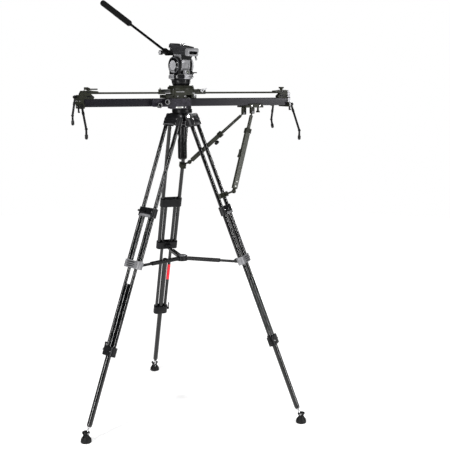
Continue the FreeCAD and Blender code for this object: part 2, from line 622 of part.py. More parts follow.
def leg_out(key):
    """The level direction from the bowl's axis to a foot."""
    turn = math.radians(FOOT_BEARINGS[key])
    return V(math.sin(turn), -math.cos(turn), 0)


LEG_LENGTH = math.hypot(FOOT_R - HINGE_R, HINGE_Z - FOOT_Z)
SLANT = math.atan2(FOOT_R - HINGE_R, HINGE_Z - FOOT_Z)


def leg_frame(key):
    """Axes of a leg: across it, square out of its face, and its hinge."""
    out = leg_out(key)
    across = V(out.y, -out.x, 0)
    hinge = V(TRIPOD_X, 0, HINGE_Z) + out * HINGE_R
    normal = out * math.cos(SLANT) + Z_AXIS * math.sin(SLANT)
    return across, normal, hinge


def leg_place(shape, key):
    return placed(shape, *leg_frame(key))


def leg_point(key, x, y, s):
    """A point x across, y outward and s down the leg."""
    across, normal, hinge = leg_frame(key)
    return hinge + across * x + normal * y - across.cross(normal) * s


def casting(half, deep, low, top):
    """A leg casting with rounded ends that wrap the tubes."""
    return round_box(-half, half, -deep, deep, low, top, Z_AXIS, deep - 3.0)


def make_crown():
    bore_r = 14.0
    hub_r = 27.0
    hub = revolve_z([(bore_r, HUB_LOW), (hub_r, HUB_LOW), (hub_r, BOWL_LOW), (BOWL_R - 2, BOWL_LOW),
                     (BOWL_R, BOWL_LOW + 3), (BOWL_R, BOWL_TOP - 2), (BOWL_R - 2, BOWL_TOP),
                     (bore_r, BOWL_TOP)])
    seat = ball(V(0, 0, SADDLE_LOW), SEAT_R).common(box(-60, 60, -60, 60, BOWL_LOW + 4, BOWL_TOP + 2))
    shape = cut(hub, seat)
    shape.translate(V(TRIPOD_X, 0, 0))
    lugs = []
    barrel = SHOULDER_TOP
    for key in FOOT_BEARINGS:
        out = leg_out(key)
        lug = fuse(box(20, HINGE_R, -20, 20, HINGE_Z - barrel, HINGE_Z + barrel),
                   rod(V(HINGE_R, -20, HINGE_Z), Y_AXIS, barrel, 40),
                   rod(V(HINGE_R, -42, HINGE_Z), Y_AXIS, 5, 84))
        lug = cut(lug, rod(V(0, 0, HUB_LOW), Z_AXIS, 18, 60))
        lugs.append(placed(lug, out, Z_AXIS.cross(out), V(TRIPOD_X, 0, 0)))
    add("tripod_bowl", fuse(shape, *lugs))


def make_tie_down():
    top = HUB_LOW - GAP
    outline = [(0, 1251), (17, 1251), (21, 1257), (21.5, 1340), (18.5, 1350), (18.5, 1357), (21.5, 1366),
               (21.5, 1400), (18, 1405), (15, 1407), (16.5, 1409), (16.5, 1415), (14, 1417), (14, 1421),
               (16.5, 1423), (16.5, 1428), (14, 1430), (14, top), (0, top)]
    handle = revolve_z(outline)
    flutes = []
    for k in range(8):
        angle = 2 * math.pi * k / 8
        flutes.append(rod(V(25.5 * math.cos(angle), 25.5 * math.sin(angle), 1256), Z_AXIS, 6.0, 78))
    socket_r = STUD_R + GAP
    socket = rod(V(0, 0, 1380), Z_AXIS, socket_r, 70)
    collar = cut(rod(V(0, 0, 1390), Z_AXIS, 12, 52), socket)
    handle = fuse(cut(handle, socket, *flutes), collar)
    handle.translate(V(TRIPOD_X, 0, 0))
    add("tie_down_handle", handle)


def make_shoulder():
    half = CASTING_HALF
    top = round_box(-42, 42, -16, 16, SHOULDER_STEP - 8, SHOULDER_TOP, X_AXIS, 11.0)
    slot = box(-20 - GAP, 20 + GAP, -30, 12, SHOULDER_STEP - 1, 20)
    pin_bore = rod(V(-42, 0, 0), X_AXIS, 5, 84)
    clamp = casting(half, 17, SHOULDER_LOW, SHOULDER_STEP)
    ribs = [box(-half + 20, half - 20, 16, 18.5, -19 - 8 * k, -16 - 8 * k) for k in range(4)]
    waist = box(-28, 28, -20, 12, SHOULDER_LOW, SHOULDER_LOW + 14)
    bores = [rod(V(side * UPPER_X, 0, SHOULDER_LOW), Z_AXIS, UPPER_TUBE_R, 30) for side in (-1, 1)]
    return cut(fuse(top, clamp, *ribs), slot, pin_bore, waist, *bores)


def make_shoulders():
    shoulders = []
    tubes = []
    brackets = []
    low = -BRACKET_S
    upper_end = low - 14
    tube_top = SHOULDER_LOW + 30
    for key in FOOT_BEARINGS:
        shoulders.append(leg_place(make_shoulder(), key))
        for side in (-1, 1):
            start = V(side * UPPER_X, 0, upper_end)
            outer = rod(start, Z_AXIS, UPPER_TUBE_R, tube_top - upper_end)
            inner = rod(start, Z_AXIS, UPPER_TUBE_R - 1.6, tube_top - upper_end)
            tubes.append(leg_place(cut(outer, inner), key))
        tools = [rod(V(side * UPPER_X, 0, upper_end), Z_AXIS, UPPER_TUBE_R, 40) for side in (-1, 1)]
        tools += [rod(V(side * MID_X, 0, low - 30), Z_AXIS, MID_TUBE_R + GAP, 60) for side in (-1, 1)]
        tools.append(rod(V(0, 0, low - 30), Z_AXIS, LOW_TUBE_R + GAP, 60))
        block = fuse(casting(CASTING_HALF, 17, low - 20, low + 16),
                     box(-30, 30, 16, 19, low - 14, low + 10))
        brackets.append(leg_place(cut(block, *tools), key))
    add("leg_shoulders", group(*shoulders))
    add("upper_leg_tubes", group(*tubes))
    add("lower_brackets", group(*brackets))


def make_mid_stage(key):
    z = -YOKE_S
    yoke = fuse(casting(CASTING_HALF, 15, z - 24, z + 18),
                box(-28, 28, 14, 17, z - 12, z + 10),
                box(-36, 36, 13, 16, z - 22, z - 14))
    tools = [rod(V(side * UPPER_X, 0, z - 26), Z_AXIS, UPPER_TUBE_R + GAP, 48) for side in (-1, 1)]
    tools += [rod(V(side * MID_X, 0, z - 26), Z_AXIS, MID_TUBE_R, 36) for side in (-1, 1)]
    pin = rod(V(0, 15, z - 2), Y_AXIS, PIN_R, 14)
    yoke = fuse(cut(yoke, *tools), pin)
    low = -CLAMP_S
    clamp = casting(36, 18, low - 22, low + 20)
    tools = [rod(V(side * MID_X, 0, low - 10), Z_AXIS, MID_TUBE_R, 40) for side in (-1, 1)]
    tools.append(rod(V(0, 0, low - 30), Z_AXIS, LOW_TUBE_R + GAP, 60))
    clamp_pin = rod(V(36, 0, low), X_AXIS, PIN_R, 12)
    clamp = fuse(cut(clamp, *tools), clamp_pin)
    length = CLAMP_S + 10 - YOKE_S
    tubes = []
    for side in (-1, 1):
        start = V(side * MID_X, 0, low - 10)
        bore = rod(start, Z_AXIS, MID_TUBE_R - 1.5, length)
        tubes.append(cut(rod(start, Z_AXIS, MID_TUBE_R, length), bore))
    add("mid_castings_" + key, leg_place(group(yoke, clamp), key))
    add("mid_tubes_" + key, leg_place(group(*tubes), key))
    lever = pin_lever(V(0, 17 + GAP, z - 2), Y_AXIS, V(1, 0, 0), 40, 9)
    add("yoke_lever_" + key, leg_place(lever, key))
    lever = pin_lever(V(36 + GAP, 0, low), X_AXIS, V(0, 0, 1), 30, 9)
    add("clamp_lever_" + key, leg_place(lever, key))


def make_low_stage(key):
    end = STUD - LEG_LENGTH
    wall = 2.0
    tube = rod(V(0, 0, end), Z_AXIS, LOW_TUBE_R, -PLUG_S - end)
    bore = rod(V(0, 0, end + 10), Z_AXIS, LOW_TUBE_R - wall, -PLUG_S - end - 10)
    cone = taper(V(0, 0, end - 14), Z_AXIS, 7, LOW_TUBE_R, 14)
    stud = rod(V(0, 0, -LEG_LENGTH), Z_AXIS, 5, STUD - 10)
    knuckle = ball(V(0, 0, -LEG_LENGTH), FOOT_BALL_R)
    add("low_tube_" + key, leg_place(fuse(cut(tube, bore), cone, stud, knuckle), key))
    bell = revolve_z([(0, 0), (22, 0), (24.5, 3), (24.5, 9), (22.5, 18), (17, 26), (13.5, 31), (12.5, 35),
                      (14.5, 39), (17, 43), (17.5, 47), (16, 50), (0, 50)])
    socket = ball(V(0, 0, FOOT_Z - FLOOR), FOOT_BALL_R + GAP)
    fork = box(-30, 30, -FOOT_SLOT_HALF, FOOT_SLOT_HALF, FOOT_SLOT_LOW, 60)
    out = leg_out(key)
    add("foot_" + key, placed(cut(bell, socket, fork), out, Z_AXIS.cross(out), foot_place(key)))


def make_spreader():
    hub = cut(rod(V(0, 0, HUB_Z - 12), Z_AXIS, 26, 24), rod(V(0, 0, HUB_Z - 12), Z_AXIS, 9, 24))
    hub.translate(V(SPREADER_X, 0, 0))
    arms = []
    for key in FOOT_BEARINGS:
        anchor = leg_point(key, 0, -17, BRACKET_S)
        out = V(anchor.x - SPREADER_X, anchor.y, 0)
        inner_face = out.Length
        out.normalize()
        channel = cut(round_box(27, 190, -11, 11, HUB_Z - 8, HUB_Z + 8, X_AXIS, 3.0),
                      box(60, 190, -6, 6, HUB_Z - 5, HUB_Z + 5))
        bar = box(60, inner_face - 20, -6, 6, HUB_Z - 5, HUB_Z + 5)
        fork = round_box(inner_face - 26, inner_face + 3, -14, 14, anchor.z - 12, anchor.z + 6, Y_AXIS, 4.0)
        arm = placed(fuse(channel, bar, fork), out, Z_AXIS.cross(out), V(SPREADER_X, 0, 0))
        bracket = box(-CASTING_HALF, CASTING_HALF, -17, 40, -BRACKET_S - 40, -BRACKET_S + 40)
        arms.append(cut(arm, leg_place(bracket, key)))
    add("spreader", group(hub, *arms))


# ---------------------------------------------------------------- braces
def brace_axes(name):
    """Direction down a brace, its sideways direction, and its length."""
    top, lower = BRACES[name][:2]
    along = lower - top
    length = along.Length
    along.normalize()
    side = along.cross(Y_AXIS)
    side.normalize()
    return along, side, length


def bar_section(size, start, end, rounding=1.2):
    wide, deep = size
    return round_box(-wide / 2, wide / 2, -deep / 2, deep / 2, start, end, Z_AXIS, rounding)


def square_tube(size, start, end, holes=0):
    """Rectangular tube along Z with a row of cross holes from its start."""
    wide, deep = size
    inner = (wide - 2 * BRACE_WALL, deep - 2 * BRACE_WALL)
    hollow = box(-inner[0] / 2, inner[0] / 2, -inner[1] / 2, inner[1] / 2, start, end)
    drills = [rod(V(0, -deep, start + 12 + 12 * k), Y_AXIS, 2.2, 2 * deep) for k in range(holes)]
    return cut(bar_section(size, start, end), hollow, *drills)


def brace_place(shape, name):
    along, side, _ = brace_axes(name)
    return placed(shape, side, along.cross(side), BRACES[name][0])


def brace_link(anchor, name):
    """Plug in the outer tube's end, knuckle, and the link back to the leg clamp."""
    lower, outer = BRACES[name][1], BRACES[name][3]
    along = brace_axes(name)[0]
    plug = rod(lower + along * -34, along, outer[1] / 2 - BRACE_WALL - 0.2, 34)
    knuckle = ball(lower, 10.5)
    link_axis = lower - anchor
    reach = link_axis.Length
    link_axis.normalize()
    return fuse(plug, knuckle, rod(anchor, link_axis, 4.5, reach))


def make_beam_clamp():
    """Clamp under the beam with the two upper pivots."""
    clamp = round_box(316, 408, -54, 54, BEAM_BOTTOM - 10, BEAM_BOTTOM, Z_AXIS, 5.0)
    jaws = [round_box(336, 400, y0, y1, BEAM_BOTTOM - 10, BEAM_BOTTOM + 8, X_AXIS, 2.0)
            for y0, y1 in ((-54, -BEAM_HALF), (BEAM_HALF, 54))]
    screw = rod(V(394, -19, BEAM_BOTTOM - 34), Z_AXIS, 5.0, 24)
    screw_head = rod(V(394, -19, BEAM_BOTTOM - 34), Z_AXIS, 9.0, 8)
    pieces = [clamp, *jaws, screw, screw_head]
    for name, (top, _, _, _, inner, _) in BRACES.items():
        along = brace_axes(name)[0]
        pieces.append(round_box(top.x - 9, top.x + 9, top.y - 10, top.y + 10, top.z - 8,
                                BEAM_BOTTOM - 10, Y_AXIS, 4.0))
        pieces.append(rod(top, along, inner[1] / 2 - BRACE_WALL - 0.1, 60))
    return fuse(*pieces)


def make_braces():
    tubes = []
    clamps = [make_beam_clamp()]
    for name, (_, _, start, outer, inner, holes) in BRACES.items():
        length = brace_axes(name)[2]
        tubes.append(brace_place(square_tube(inner, 18, start + 60, holes), name))
        tubes.append(brace_place(square_tube(outer, start, length - 14), name))
        wide, deep = outer
        collar = bar_section((wide + 6, deep + 6), start - 9, start + 13, 3.0)
        collar = cut(collar, box(-wide / 2, wide / 2, -deep / 2, deep / 2, start, start + 13),
                     box(-inner[0] / 2, inner[0] / 2, -inner[1] / 2, inner[1] / 2, start - 9, start))
        clamps.append(brace_place(collar, name))
    add("brace_tubes", group(*tubes))

    s = BRACE_FRONT_S
    bridge = round_box(-CASTING_HALF, CASTING_HALF, 9, 20, -s - 12, -s + 12, X_AXIS, 3.0)
    grooves = [rod(V(x, 0, -s - 12), Z_AXIS, UPPER_TUBE_R, 24) for x in (-UPPER_X, UPPER_X)]
    nut = rod(V(-12, 20, -s), Y_AXIS, 9, 12)
    bridge = leg_place(fuse(cut(bridge, *grooves), nut), "right")
    clamps.append(fuse(bridge, brace_link(leg_point("right", -12, 28, s), "front")))

    s = BRACE_BACK_S
    collar = leg_place(round_box(UPPER_X - 15, UPPER_X + 12, -22, 14, -s - 11, -s + 11, Z_AXIS, 4.0), "back")
    bore = leg_place(rod(V(UPPER_X, 0, -s - 30), Z_AXIS, UPPER_TUBE_R, 60), "back")
    clear_tube = leg_place(rod(V(UPPER_X, 0, -s - 30), Z_AXIS, UPPER_TUBE_R + GAP, 60), "back")
    link = cut(brace_link(leg_point("back", UPPER_X, 0, s), "back"), clear_tube)
    clamps.append(fuse(cut(collar, bore), link))
    add("brace_clamps", group(*clamps))

    top, _, _, outer, _, _ = BRACES["front"]
    along, side, _ = brace_axes("front")
    root = top + along * FRONT_LEVER_AT - side * (outer[0] / 2 + GAP)
    add("brace_lever_front", pin_lever(root, side * -1, along * -1, 30, 8))
    top, _, _, outer, _, _ = BRACES["back"]
    along, side, _ = brace_axes("back")
    root = top + along * BACK_KNOB_AT + side * (outer[0] / 2 + GAP)
    knob = fuse(rod(V(0, 0, 0), Z_AXIS, 5.5, 6), lobed(V(0, 0, 6), Z_AXIS, 12.0, 9, 6))
    add("brace_knob_back", placed(knob, along, side.cross(along), root))


def build():
    make_beam()
    make_belt()
    for side, name in ((-1, "left"), (1, "right")):
        add("end_bracket_" + name, end_block(side))
        make_leg_lock(side, "leg_lock_" + name)
    make_tension_knobs()
    for name, spec in FOLD_LEGS.items():
        make_fold_leg(name, *spec)
    make_carriage()
    make_brake_lever()
    make_bowl_ring()
    make_saddle()
    make_ball_base()
    make_pan_housing()
    make_tilt_body()
    make_camera_plate()
    make_head_levers()
    make_pan_bar()
    make_crown()
    make_tie_down()
    make_shoulders()
    for key in FOOT_BEARINGS:
        make_mid_stage(key)
        make_low_stage(key)
    make_spreader()
    make_braces()


build()
overall = FreeCAD.BoundBox()
for part_shape in PARTS.values():
    overall.add(part_shape.BoundBox)
SHIFT = V(-overall.Center.x, -overall.Center.y, -FLOOR)
for part_name, part_shape in PARTS.items():
    part_shape.translate(SHIFT)
    part_shape.exportStep("parts/" + part_name + ".step")
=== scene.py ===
"""Camera slider on a tripod: camera, studio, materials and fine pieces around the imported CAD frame."""
import math

import bmesh
import bpy
from mathutils import Matrix, Vector


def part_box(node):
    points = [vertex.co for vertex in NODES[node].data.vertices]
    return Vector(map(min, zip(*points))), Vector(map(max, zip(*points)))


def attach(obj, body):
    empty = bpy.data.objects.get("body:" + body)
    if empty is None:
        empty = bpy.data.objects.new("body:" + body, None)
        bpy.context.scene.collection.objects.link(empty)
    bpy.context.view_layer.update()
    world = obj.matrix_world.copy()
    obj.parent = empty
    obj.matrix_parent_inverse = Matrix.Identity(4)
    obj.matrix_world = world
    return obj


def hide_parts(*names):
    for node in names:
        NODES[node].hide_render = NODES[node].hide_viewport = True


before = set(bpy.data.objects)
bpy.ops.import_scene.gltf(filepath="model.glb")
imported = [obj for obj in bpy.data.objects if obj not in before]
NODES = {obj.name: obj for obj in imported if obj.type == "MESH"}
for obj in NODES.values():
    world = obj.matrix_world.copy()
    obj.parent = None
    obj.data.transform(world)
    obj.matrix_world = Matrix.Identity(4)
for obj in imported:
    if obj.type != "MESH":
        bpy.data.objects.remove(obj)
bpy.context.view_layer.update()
LEGS = ("left", "right", "back")
X, Y, Z = Vector((1, 0, 0)), Vector((0, 1, 0)), Vector((0, 0, 1))
MM = 0.001
WHITE = (1.0, 1.0, 1.0, 1.0)

EDGE_SAMPLES = 4          # rays of the mask for edges painted lighter, part wear and part painted highlight
EDGE_FULL, EDGE_NONE = 0.80, 0.97   # how far a rounded edge turns where its lighter paint, part wear and part painted highlight, is full and where it ends
GLOSS_SWING = 0.07        # roughness either side of a surface's middle value
COAT_ROUGH = 0.06
GRAIN_HEIGHT = 0.0006     # metres of bump in a surface's fine grain
SCUFF_PER_PATCH = 6       # scuffs are this much finer than a surface's patches

BEAM_LEFT_MM = -461.0     # the beam's left end in the drawing's own millimetres
FLOOR_MM = 27.0           # the floor's height in the drawing
BEAM_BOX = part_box("beam")
ORIGIN = Vector((BEAM_BOX[0].x - BEAM_LEFT_MM * MM, (BEAM_BOX[0].y + BEAM_BOX[1].y) / 2, -FLOOR_MM * MM))


def at(x, y, z):
    """A place given in the drawing's millimetres."""
    return ORIGIN + Vector((x, y, z)) * MM


# ---------------------------------------------------------------- camera
AXIS = at(0, 0, 0)                        # the view turns about this upright line
CAMERA_RANGE = 4.0
CAMERA_HEIGHT = 1.574
CAMERA_AZIMUTH = math.radians(-20.0)
CAMERA_TURN = math.radians(-3.04)         # the view's middle lies to the right of the tripod
CAMERA_PITCH = math.radians(9.42)
CAMERA_LENS = 68.3


def make_camera():
    """The camera stands on a circle about AXIS and looks a little aside and down."""
    data = bpy.data.cameras.new("camera")
    data.lens = CAMERA_LENS
    data.sensor_width = 36.0
    data.clip_end = 60.0
    camera = bpy.data.objects.new("camera", data)
    bpy.context.scene.collection.objects.link(camera)
    camera.location = (AXIS.x + CAMERA_RANGE * math.sin(CAMERA_AZIMUTH),
                       AXIS.y - CAMERA_RANGE * math.cos(CAMERA_AZIMUTH), CAMERA_HEIGHT)
    heading = CAMERA_AZIMUTH + CAMERA_TURN
    camera.rotation_euler = (math.pi / 2 - CAMERA_PITCH, 0, heading)
    bpy.context.scene.camera = camera


# ---------------------------------------------------------------- node helpers
def new_material(name):
    """A node material, its tree and its shader."""
    material = bpy.data.materials.new(name)
    material.use_nodes = True
    tree = material.node_tree
    shader = tree.nodes["Principled BSDF"]
    return material, tree, shader


def link(tree, source, out, target, socket):
    tree.links.new(source.outputs[out], target.inputs[socket])


def noise(tree, scale, detail=4.0, stretch=(1, 1, 1), rough=0.55):
    """Object-space noise, stretched along the axes by the mapping's scale."""
    coords = tree.nodes.new("ShaderNodeTexCoord")
    mapping = tree.nodes.new("ShaderNodeMapping")
    mapping.inputs["Scale"].default_value = stretch
    texture = tree.nodes.new("ShaderNodeTexNoise")
    texture.inputs["Scale"].default_value = scale
    texture.inputs["Detail"].default_value = detail
    texture.inputs["Roughness"].default_value = rough
    link(tree, coords, "Object", mapping, "Vector")
    link(tree, mapping, "Vector", texture, "Vector")
    return texture


def cells(tree, scale):
    """Object-space cells, for foam."""
    coords = tree.nodes.new("ShaderNodeTexCoord")
    texture = tree.nodes.new("ShaderNodeTexVoronoi")
    texture.inputs["Scale"].default_value = scale
    link(tree, coords, "Object", texture, "Vector")
    return texture


def ramp(tree, source, out, stops):
    """A colour ramp of (place, colour) stops driven by one output of source."""
    node = tree.nodes.new("ShaderNodeValToRGB")
    elements = node.color_ramp.elements
    while len(elements) < len(stops):
        elements.new(0.5)
    for element, (place, colour) in zip(elements, stops):
        element.position = place
        element.color = (*colour, 1.0)
    link(tree, source, out, node, "Fac")
    return node


def grey(value):
    return (value, value, value)


def tinted(colour, gain):
    """The colour made lighter or darker by gain, kept under white."""
    return tuple(min(1.0, c * gain) for c in colour)


def add_bump(tree, shader, height, out, strength, distance):
    """Bump on top of whatever bump the shader already has."""
    bump = tree.nodes.new("ShaderNodeBump")
    bump.inputs["Strength"].default_value = strength
    bump.inputs["Distance"].default_value = distance
    link(tree, height, out, bump, "Height")
    if shader.inputs["Normal"].is_linked:
        before = shader.inputs["Normal"].links[0].from_node
        link(tree, before, "Normal", bump, "Normal")
    link(tree, bump, "Normal", shader, "Normal")


def edge_mask(tree, radius):
    """White along rounded-over edges, black on the flats."""
    rounded = tree.nodes.new("ShaderNodeBevel")
    rounded.samples = EDGE_SAMPLES
    rounded.inputs["Radius"].default_value = radius
    flat = tree.nodes.new("ShaderNodeNewGeometry")
    dot = tree.nodes.new("ShaderNodeVectorMath")
    dot.operation = "DOT_PRODUCT"
    link(tree, rounded, "Normal", dot, 0)
    link(tree, flat, "Normal", dot, 1)
    return ramp(tree, dot, "Value", [(EDGE_FULL, grey(1.0)), (EDGE_NONE, grey(0.0))])


def blend_colour(tree, mask, low, high):
    """Colour low where the mask is black and high where it is white."""
    mix = tree.nodes.new("ShaderNodeMix")
    mix.data_type = "RGBA"
    link(tree, mask, "Color", mix, "Factor")
    link(tree, low, "Color", mix, "A")
    link(tree, high, "Color", mix, "B")
    return mix


def coated(name, colour, rough, metal=0.0, fine=1500.0, depth=0.05, patch=14.0, spread=0.25, coat=0.0,
           stretch=(1, 1, 1), wear_and_highlight=None, spec=0.3, edge=0.0009):
    """Painted, anodised or moulded surface: cloudy colour, edges painted lighter as wear and as painted
    highlight, speckled gloss, fine grain.
    """
    material, tree, shader = new_material(name)
    cloud = noise(tree, patch, 5.0)
    dark, light = tinted(colour, 1 - spread), tinted(colour, 1 + spread)
    tint = ramp(tree, cloud, "Fac", [(0.3, dark), (0.7, light)])
    grain = noise(tree, fine, 3.0, stretch)
    if wear_and_highlight:
        # Rounded edges painted lighter: partly wear, partly a painted highlight.
        worn_and_lit = ramp(tree, cloud, "Fac", [(0.25, tinted(wear_and_highlight, 0.35)), (0.65, wear_and_highlight)])
        mix = blend_colour(tree, edge_mask(tree, edge), tint, worn_and_lit)
        link(tree, mix, "Result", shader, "Base Color")
    else:
        link(tree, tint, "Color", shader, "Base Color")
    scuff = noise(tree, patch * SCUFF_PER_PATCH, 6.0, stretch)
    smooth, matt = max(0.02, rough - GLOSS_SWING), min(1.0, rough + GLOSS_SWING)
    gloss = ramp(tree, scuff, "Fac", [(0.3, grey(smooth)), (0.7, grey(matt))])
    link(tree, gloss, "Color", shader, "Roughness")
    shader.inputs["Metallic"].default_value = metal
    shader.inputs["Specular IOR Level"].default_value = spec
    if coat:
        shader.inputs["Coat Weight"].default_value = coat
        shader.inputs["Coat Roughness"].default_value = COAT_ROUGH
    add_bump(tree, shader, grain, "Fac", depth, GRAIN_HEIGHT)
    return material


def foam_material():
    """Matt black closed-cell foam."""
    material, tree, shader = new_material("foam_skin")
    cell = cells(tree, 620.0)
    tint = ramp(tree, cell, "Distance", [(0.1, grey(0.001)), (0.8, grey(0.005))])
    link(tree, tint, "Color", shader, "Base Color")
    gloss = ramp(tree, cell, "Distance", [(0.1, grey(0.95)), (0.9, grey(0.7))])
    link(tree, gloss, "Color", shader, "Roughness")
    shader.inputs["Specular IOR Level"].default_value = 0.08
    shader.inputs["Sheen Weight"].default_value = 0.02
    shader.inputs["Sheen Roughness"].default_value = 0.6
    add_bump(tree, shader, cell, "Distance", 0.8, 0.0007)
    add_bump(tree, shader, noise(tree, 90.0, 4.0), "Fac", 0.3, 0.0012)
    return material


M = {}
OLIVE_EDGE = (0.09, 0.09, 0.07)
BLACK_EDGE = (0.06, 0.06, 0.065)
GREY_EDGE = (0.20, 0.20, 0.21)


def make_materials():
    M["beam"] = coated("beam_anodised", (0.00792, 0.00749, 0.0101), 0.34, 0.1, 700, 0.10, 9, 0.15,
                       stretch=(0.02, 1, 1), wear_and_highlight=BLACK_EDGE, spec=0.14)
    M["olive"] = coated("olive_textured_paint", (0.0122, 0.013, 0.00835), 0.44, 0.0, 900, 0.4, 30, 0.35,
                        wear_and_highlight=OLIVE_EDGE, spec=0.14)
    M["olive_tube"] = coated("olive_anodised_tube", (0.023, 0.0242, 0.0182), 0.36, 0.1, 800, 0.12, 16, 0.2,
                             wear_and_highlight=OLIVE_EDGE, spec=0.2)
    M["black_cast"] = coated("black_cast_paint", (0.0035, 0.0035, 0.004), 0.34, 0.0, 1000, 0.35, 30, 0.3,
                             wear_and_highlight=BLACK_EDGE, spec=0.14)
    M["saddle"] = coated("saddle_textured_paint", (0.0158, 0.0141, 0.0202), 0.42, 0.0, 420, 0.9, 60, 0.45,
                         wear_and_highlight=BLACK_EDGE, spec=0.15)
    M["gloss_black"] = coated("gloss_black_enamel", (0.002, 0.002, 0.0025), 0.14, 0.0, 500, 0.03, 20, 0.2,
                              coat=0.25, spec=0.2)
    M["grey_cast"] = coated("grey_hammered_paint", (0.09, 0.092, 0.1), 0.34, 0.2, 650, 0.4, 24, 0.25,
                            wear_and_highlight=GREY_EDGE, spec=0.25)
    M["mid_cast"] = coated("mid_grey_casting", (0.206, 0.206, 0.215), 0.36, 0.2, 650, 0.35, 30, 0.2,
                           wear_and_highlight=(0.4, 0.4, 0.4), spec=0.3)
    M["light_cast"] = coated("light_grey_casting", (0.333, 0.333, 0.348), 0.36, 0.2, 650, 0.3, 30, 0.15,
                             wear_and_highlight=(0.5, 0.5, 0.5), spec=0.35)
    M["dark_cast"] = coated("dark_grey_casting", (0.022, 0.022, 0.024), 0.36, 0.1, 800, 0.35, 30, 0.3,
                            wear_and_highlight=GREY_EDGE, spec=0.2)
    M["plastic"] = coated("black_textured_plastic", (0.006, 0.006, 0.0068), 0.36, 0.0, 1200, 0.5, 40, 0.3,
                          wear_and_highlight=BLACK_EDGE, spec=0.16)
    M["sleeve"] = coated("grey_moulded_sleeve", (0.18, 0.18, 0.189), 0.36, 0.1, 900, 0.4, 40, 0.25,
                         wear_and_highlight=(0.3, 0.3, 0.3), spec=0.3)
    M["knob"] = coated("black_moulded_knob", (0.004, 0.004, 0.0045), 0.28, 0.0, 1300, 0.25, 50, 0.25,
                       wear_and_highlight=BLACK_EDGE, spec=0.18)
    M["tube"] = coated("gloss_black_tube", (0.0012, 0.0012, 0.0015), 0.13, 0.0, 300, 0.01, 10, 0.3, coat=0.4,
                       spec=0.30)
    M["rubber"] = coated("moulded_rubber", (0.005, 0.005, 0.005), 0.52, 0.0, 1500, 0.4, 60, 0.3, spec=0.2)
    M["belt"] = coated("belt_rubber", (0.012, 0.01275, 0.0075), 0.58, 0.0, 1400, 0.3, 60, 0.25, spec=0.15)
    M["steel"] = coated("machined_steel", (0.62, 0.62, 0.63), 0.22, 1.0, 500, 0.08, 30, 0.08)
    M["dark_steel"] = coated("black_oxide_steel", (0.05, 0.05, 0.052), 0.30, 0.9, 600, 0.08, 30, 0.15)
    M["red"] = coated("red_strip", (0.80, 0.012, 0.025), 0.35, 0.0, 900, 0.05, 60, 0.08)
    M["white"] = coated("white_plastic", (0.82, 0.82, 0.80), 0.35, 0.0, 900, 0.05, 60, 0.06)
    M["vial"] = coated("level_vial", (0.12, 0.13, 0.10), 0.08, 0.0, 900, 0.02, 60, 0.10, coat=0.8)
    M["foam"] = foam_material()


NODE_MATERIALS = {
    "beam": "beam", "drive_belt": "belt", "end_bracket_left": "olive", "end_bracket_right": "olive",
    "mount_saddle": "saddle", "tripod_bowl": "black_cast", "leg_shoulders": "plastic",
    "upper_leg_tubes": "tube", "lower_brackets": "plastic", "spreader": "plastic",
    "brace_tubes": "olive_tube", "brace_clamps": "olive", "carriage_castings": "olive",
    "bowl_ring": "olive", "ball_base": "knob", "pan_housing": "black_cast", "tilt_caps": "gloss_black",
    "tilt_body": "black_cast", "camera_plate": "dark_cast", "camera_screws": "steel", "pan_bar": "tube",
    "foam_grip": "foam", "bar_clamp_knob": "knob", "wheelset_left": "steel", "wheelset_right": "steel",
    "carriage_brake_lever": "light_cast", "pan_brake_lever": "knob", "tilt_brake_lever": "knob",
    "plate_lever": "knob", "tension_knob_left": "olive", "tension_knob_right": "olive",
    "saddle_knob_outer": "knob", "saddle_knob_inner": "knob", "leg_lock_left": "black_cast",
    "leg_lock_right": "black_cast", "tie_down_handle": "knob", "brace_lever_front": "olive",
    "brace_knob_back": "knob",
}
PREFIX_MATERIALS = {"fold_leg_": "black_cast", "mid_castings_": "plastic", "mid_tubes_": "tube",
                    "low_tube_": "tube", "foot_": "rubber", "yoke_lever_": "knob", "clamp_lever_": "knob"}


def material_of(node):
    """The material of a CAD node, by its name or its name's beginning."""
    if node in NODE_MATERIALS:
        return M[NODE_MATERIALS[node]]
    for prefix, key in PREFIX_MATERIALS.items():
        if node.startswith(prefix):
            return M[key]
    raise KeyError(node)


def dress_nodes():
    """Each CAD node's own material in place of the plain one."""
    for name, obj in NODES.items():
        obj.data.materials.clear()
        obj.data.materials.append(material_of(name))


def paint_faces(node, key, test):
    """Give the faces whose middle passes the test another material."""
    mesh = NODES[node].data
    mesh.materials.append(M[key])
    index = len(mesh.materials) - 1
    for face in mesh.polygons:
        if test(face.center, face.normal):
            face.material_index = index


# ---------------------------------------------------------------- studio
FLOOR_RADIUS = 6.5
FLOOR_NEAR_GLOW = 0.52    # the lamps do the rest near the object
LIT_RADIUS = 1.2
FAR_RADIUS = 4.5
LAMPS = (                 # name, place, width, height, power
    ("strip_left", (-2.9, -1.9, 1.7), 0.26, 2.8, 125),
    ("strip_right", (2.2, -3.0, 1.6), 0.24, 2.8, 115),
    ("strip_back", (2.2, 2.4, 1.9), 0.25, 2.6, 40),
    ("overhead", (-0.4, -0.9, 4.4), 2.4, 2.4, 45),
)
LAMP_AIM = 1.2            # height the lamps point at
ROOM_LIGHT = 0.05         # what the room gives the surfaces
ROOM_WHITE = 1.0          # what is seen behind the object


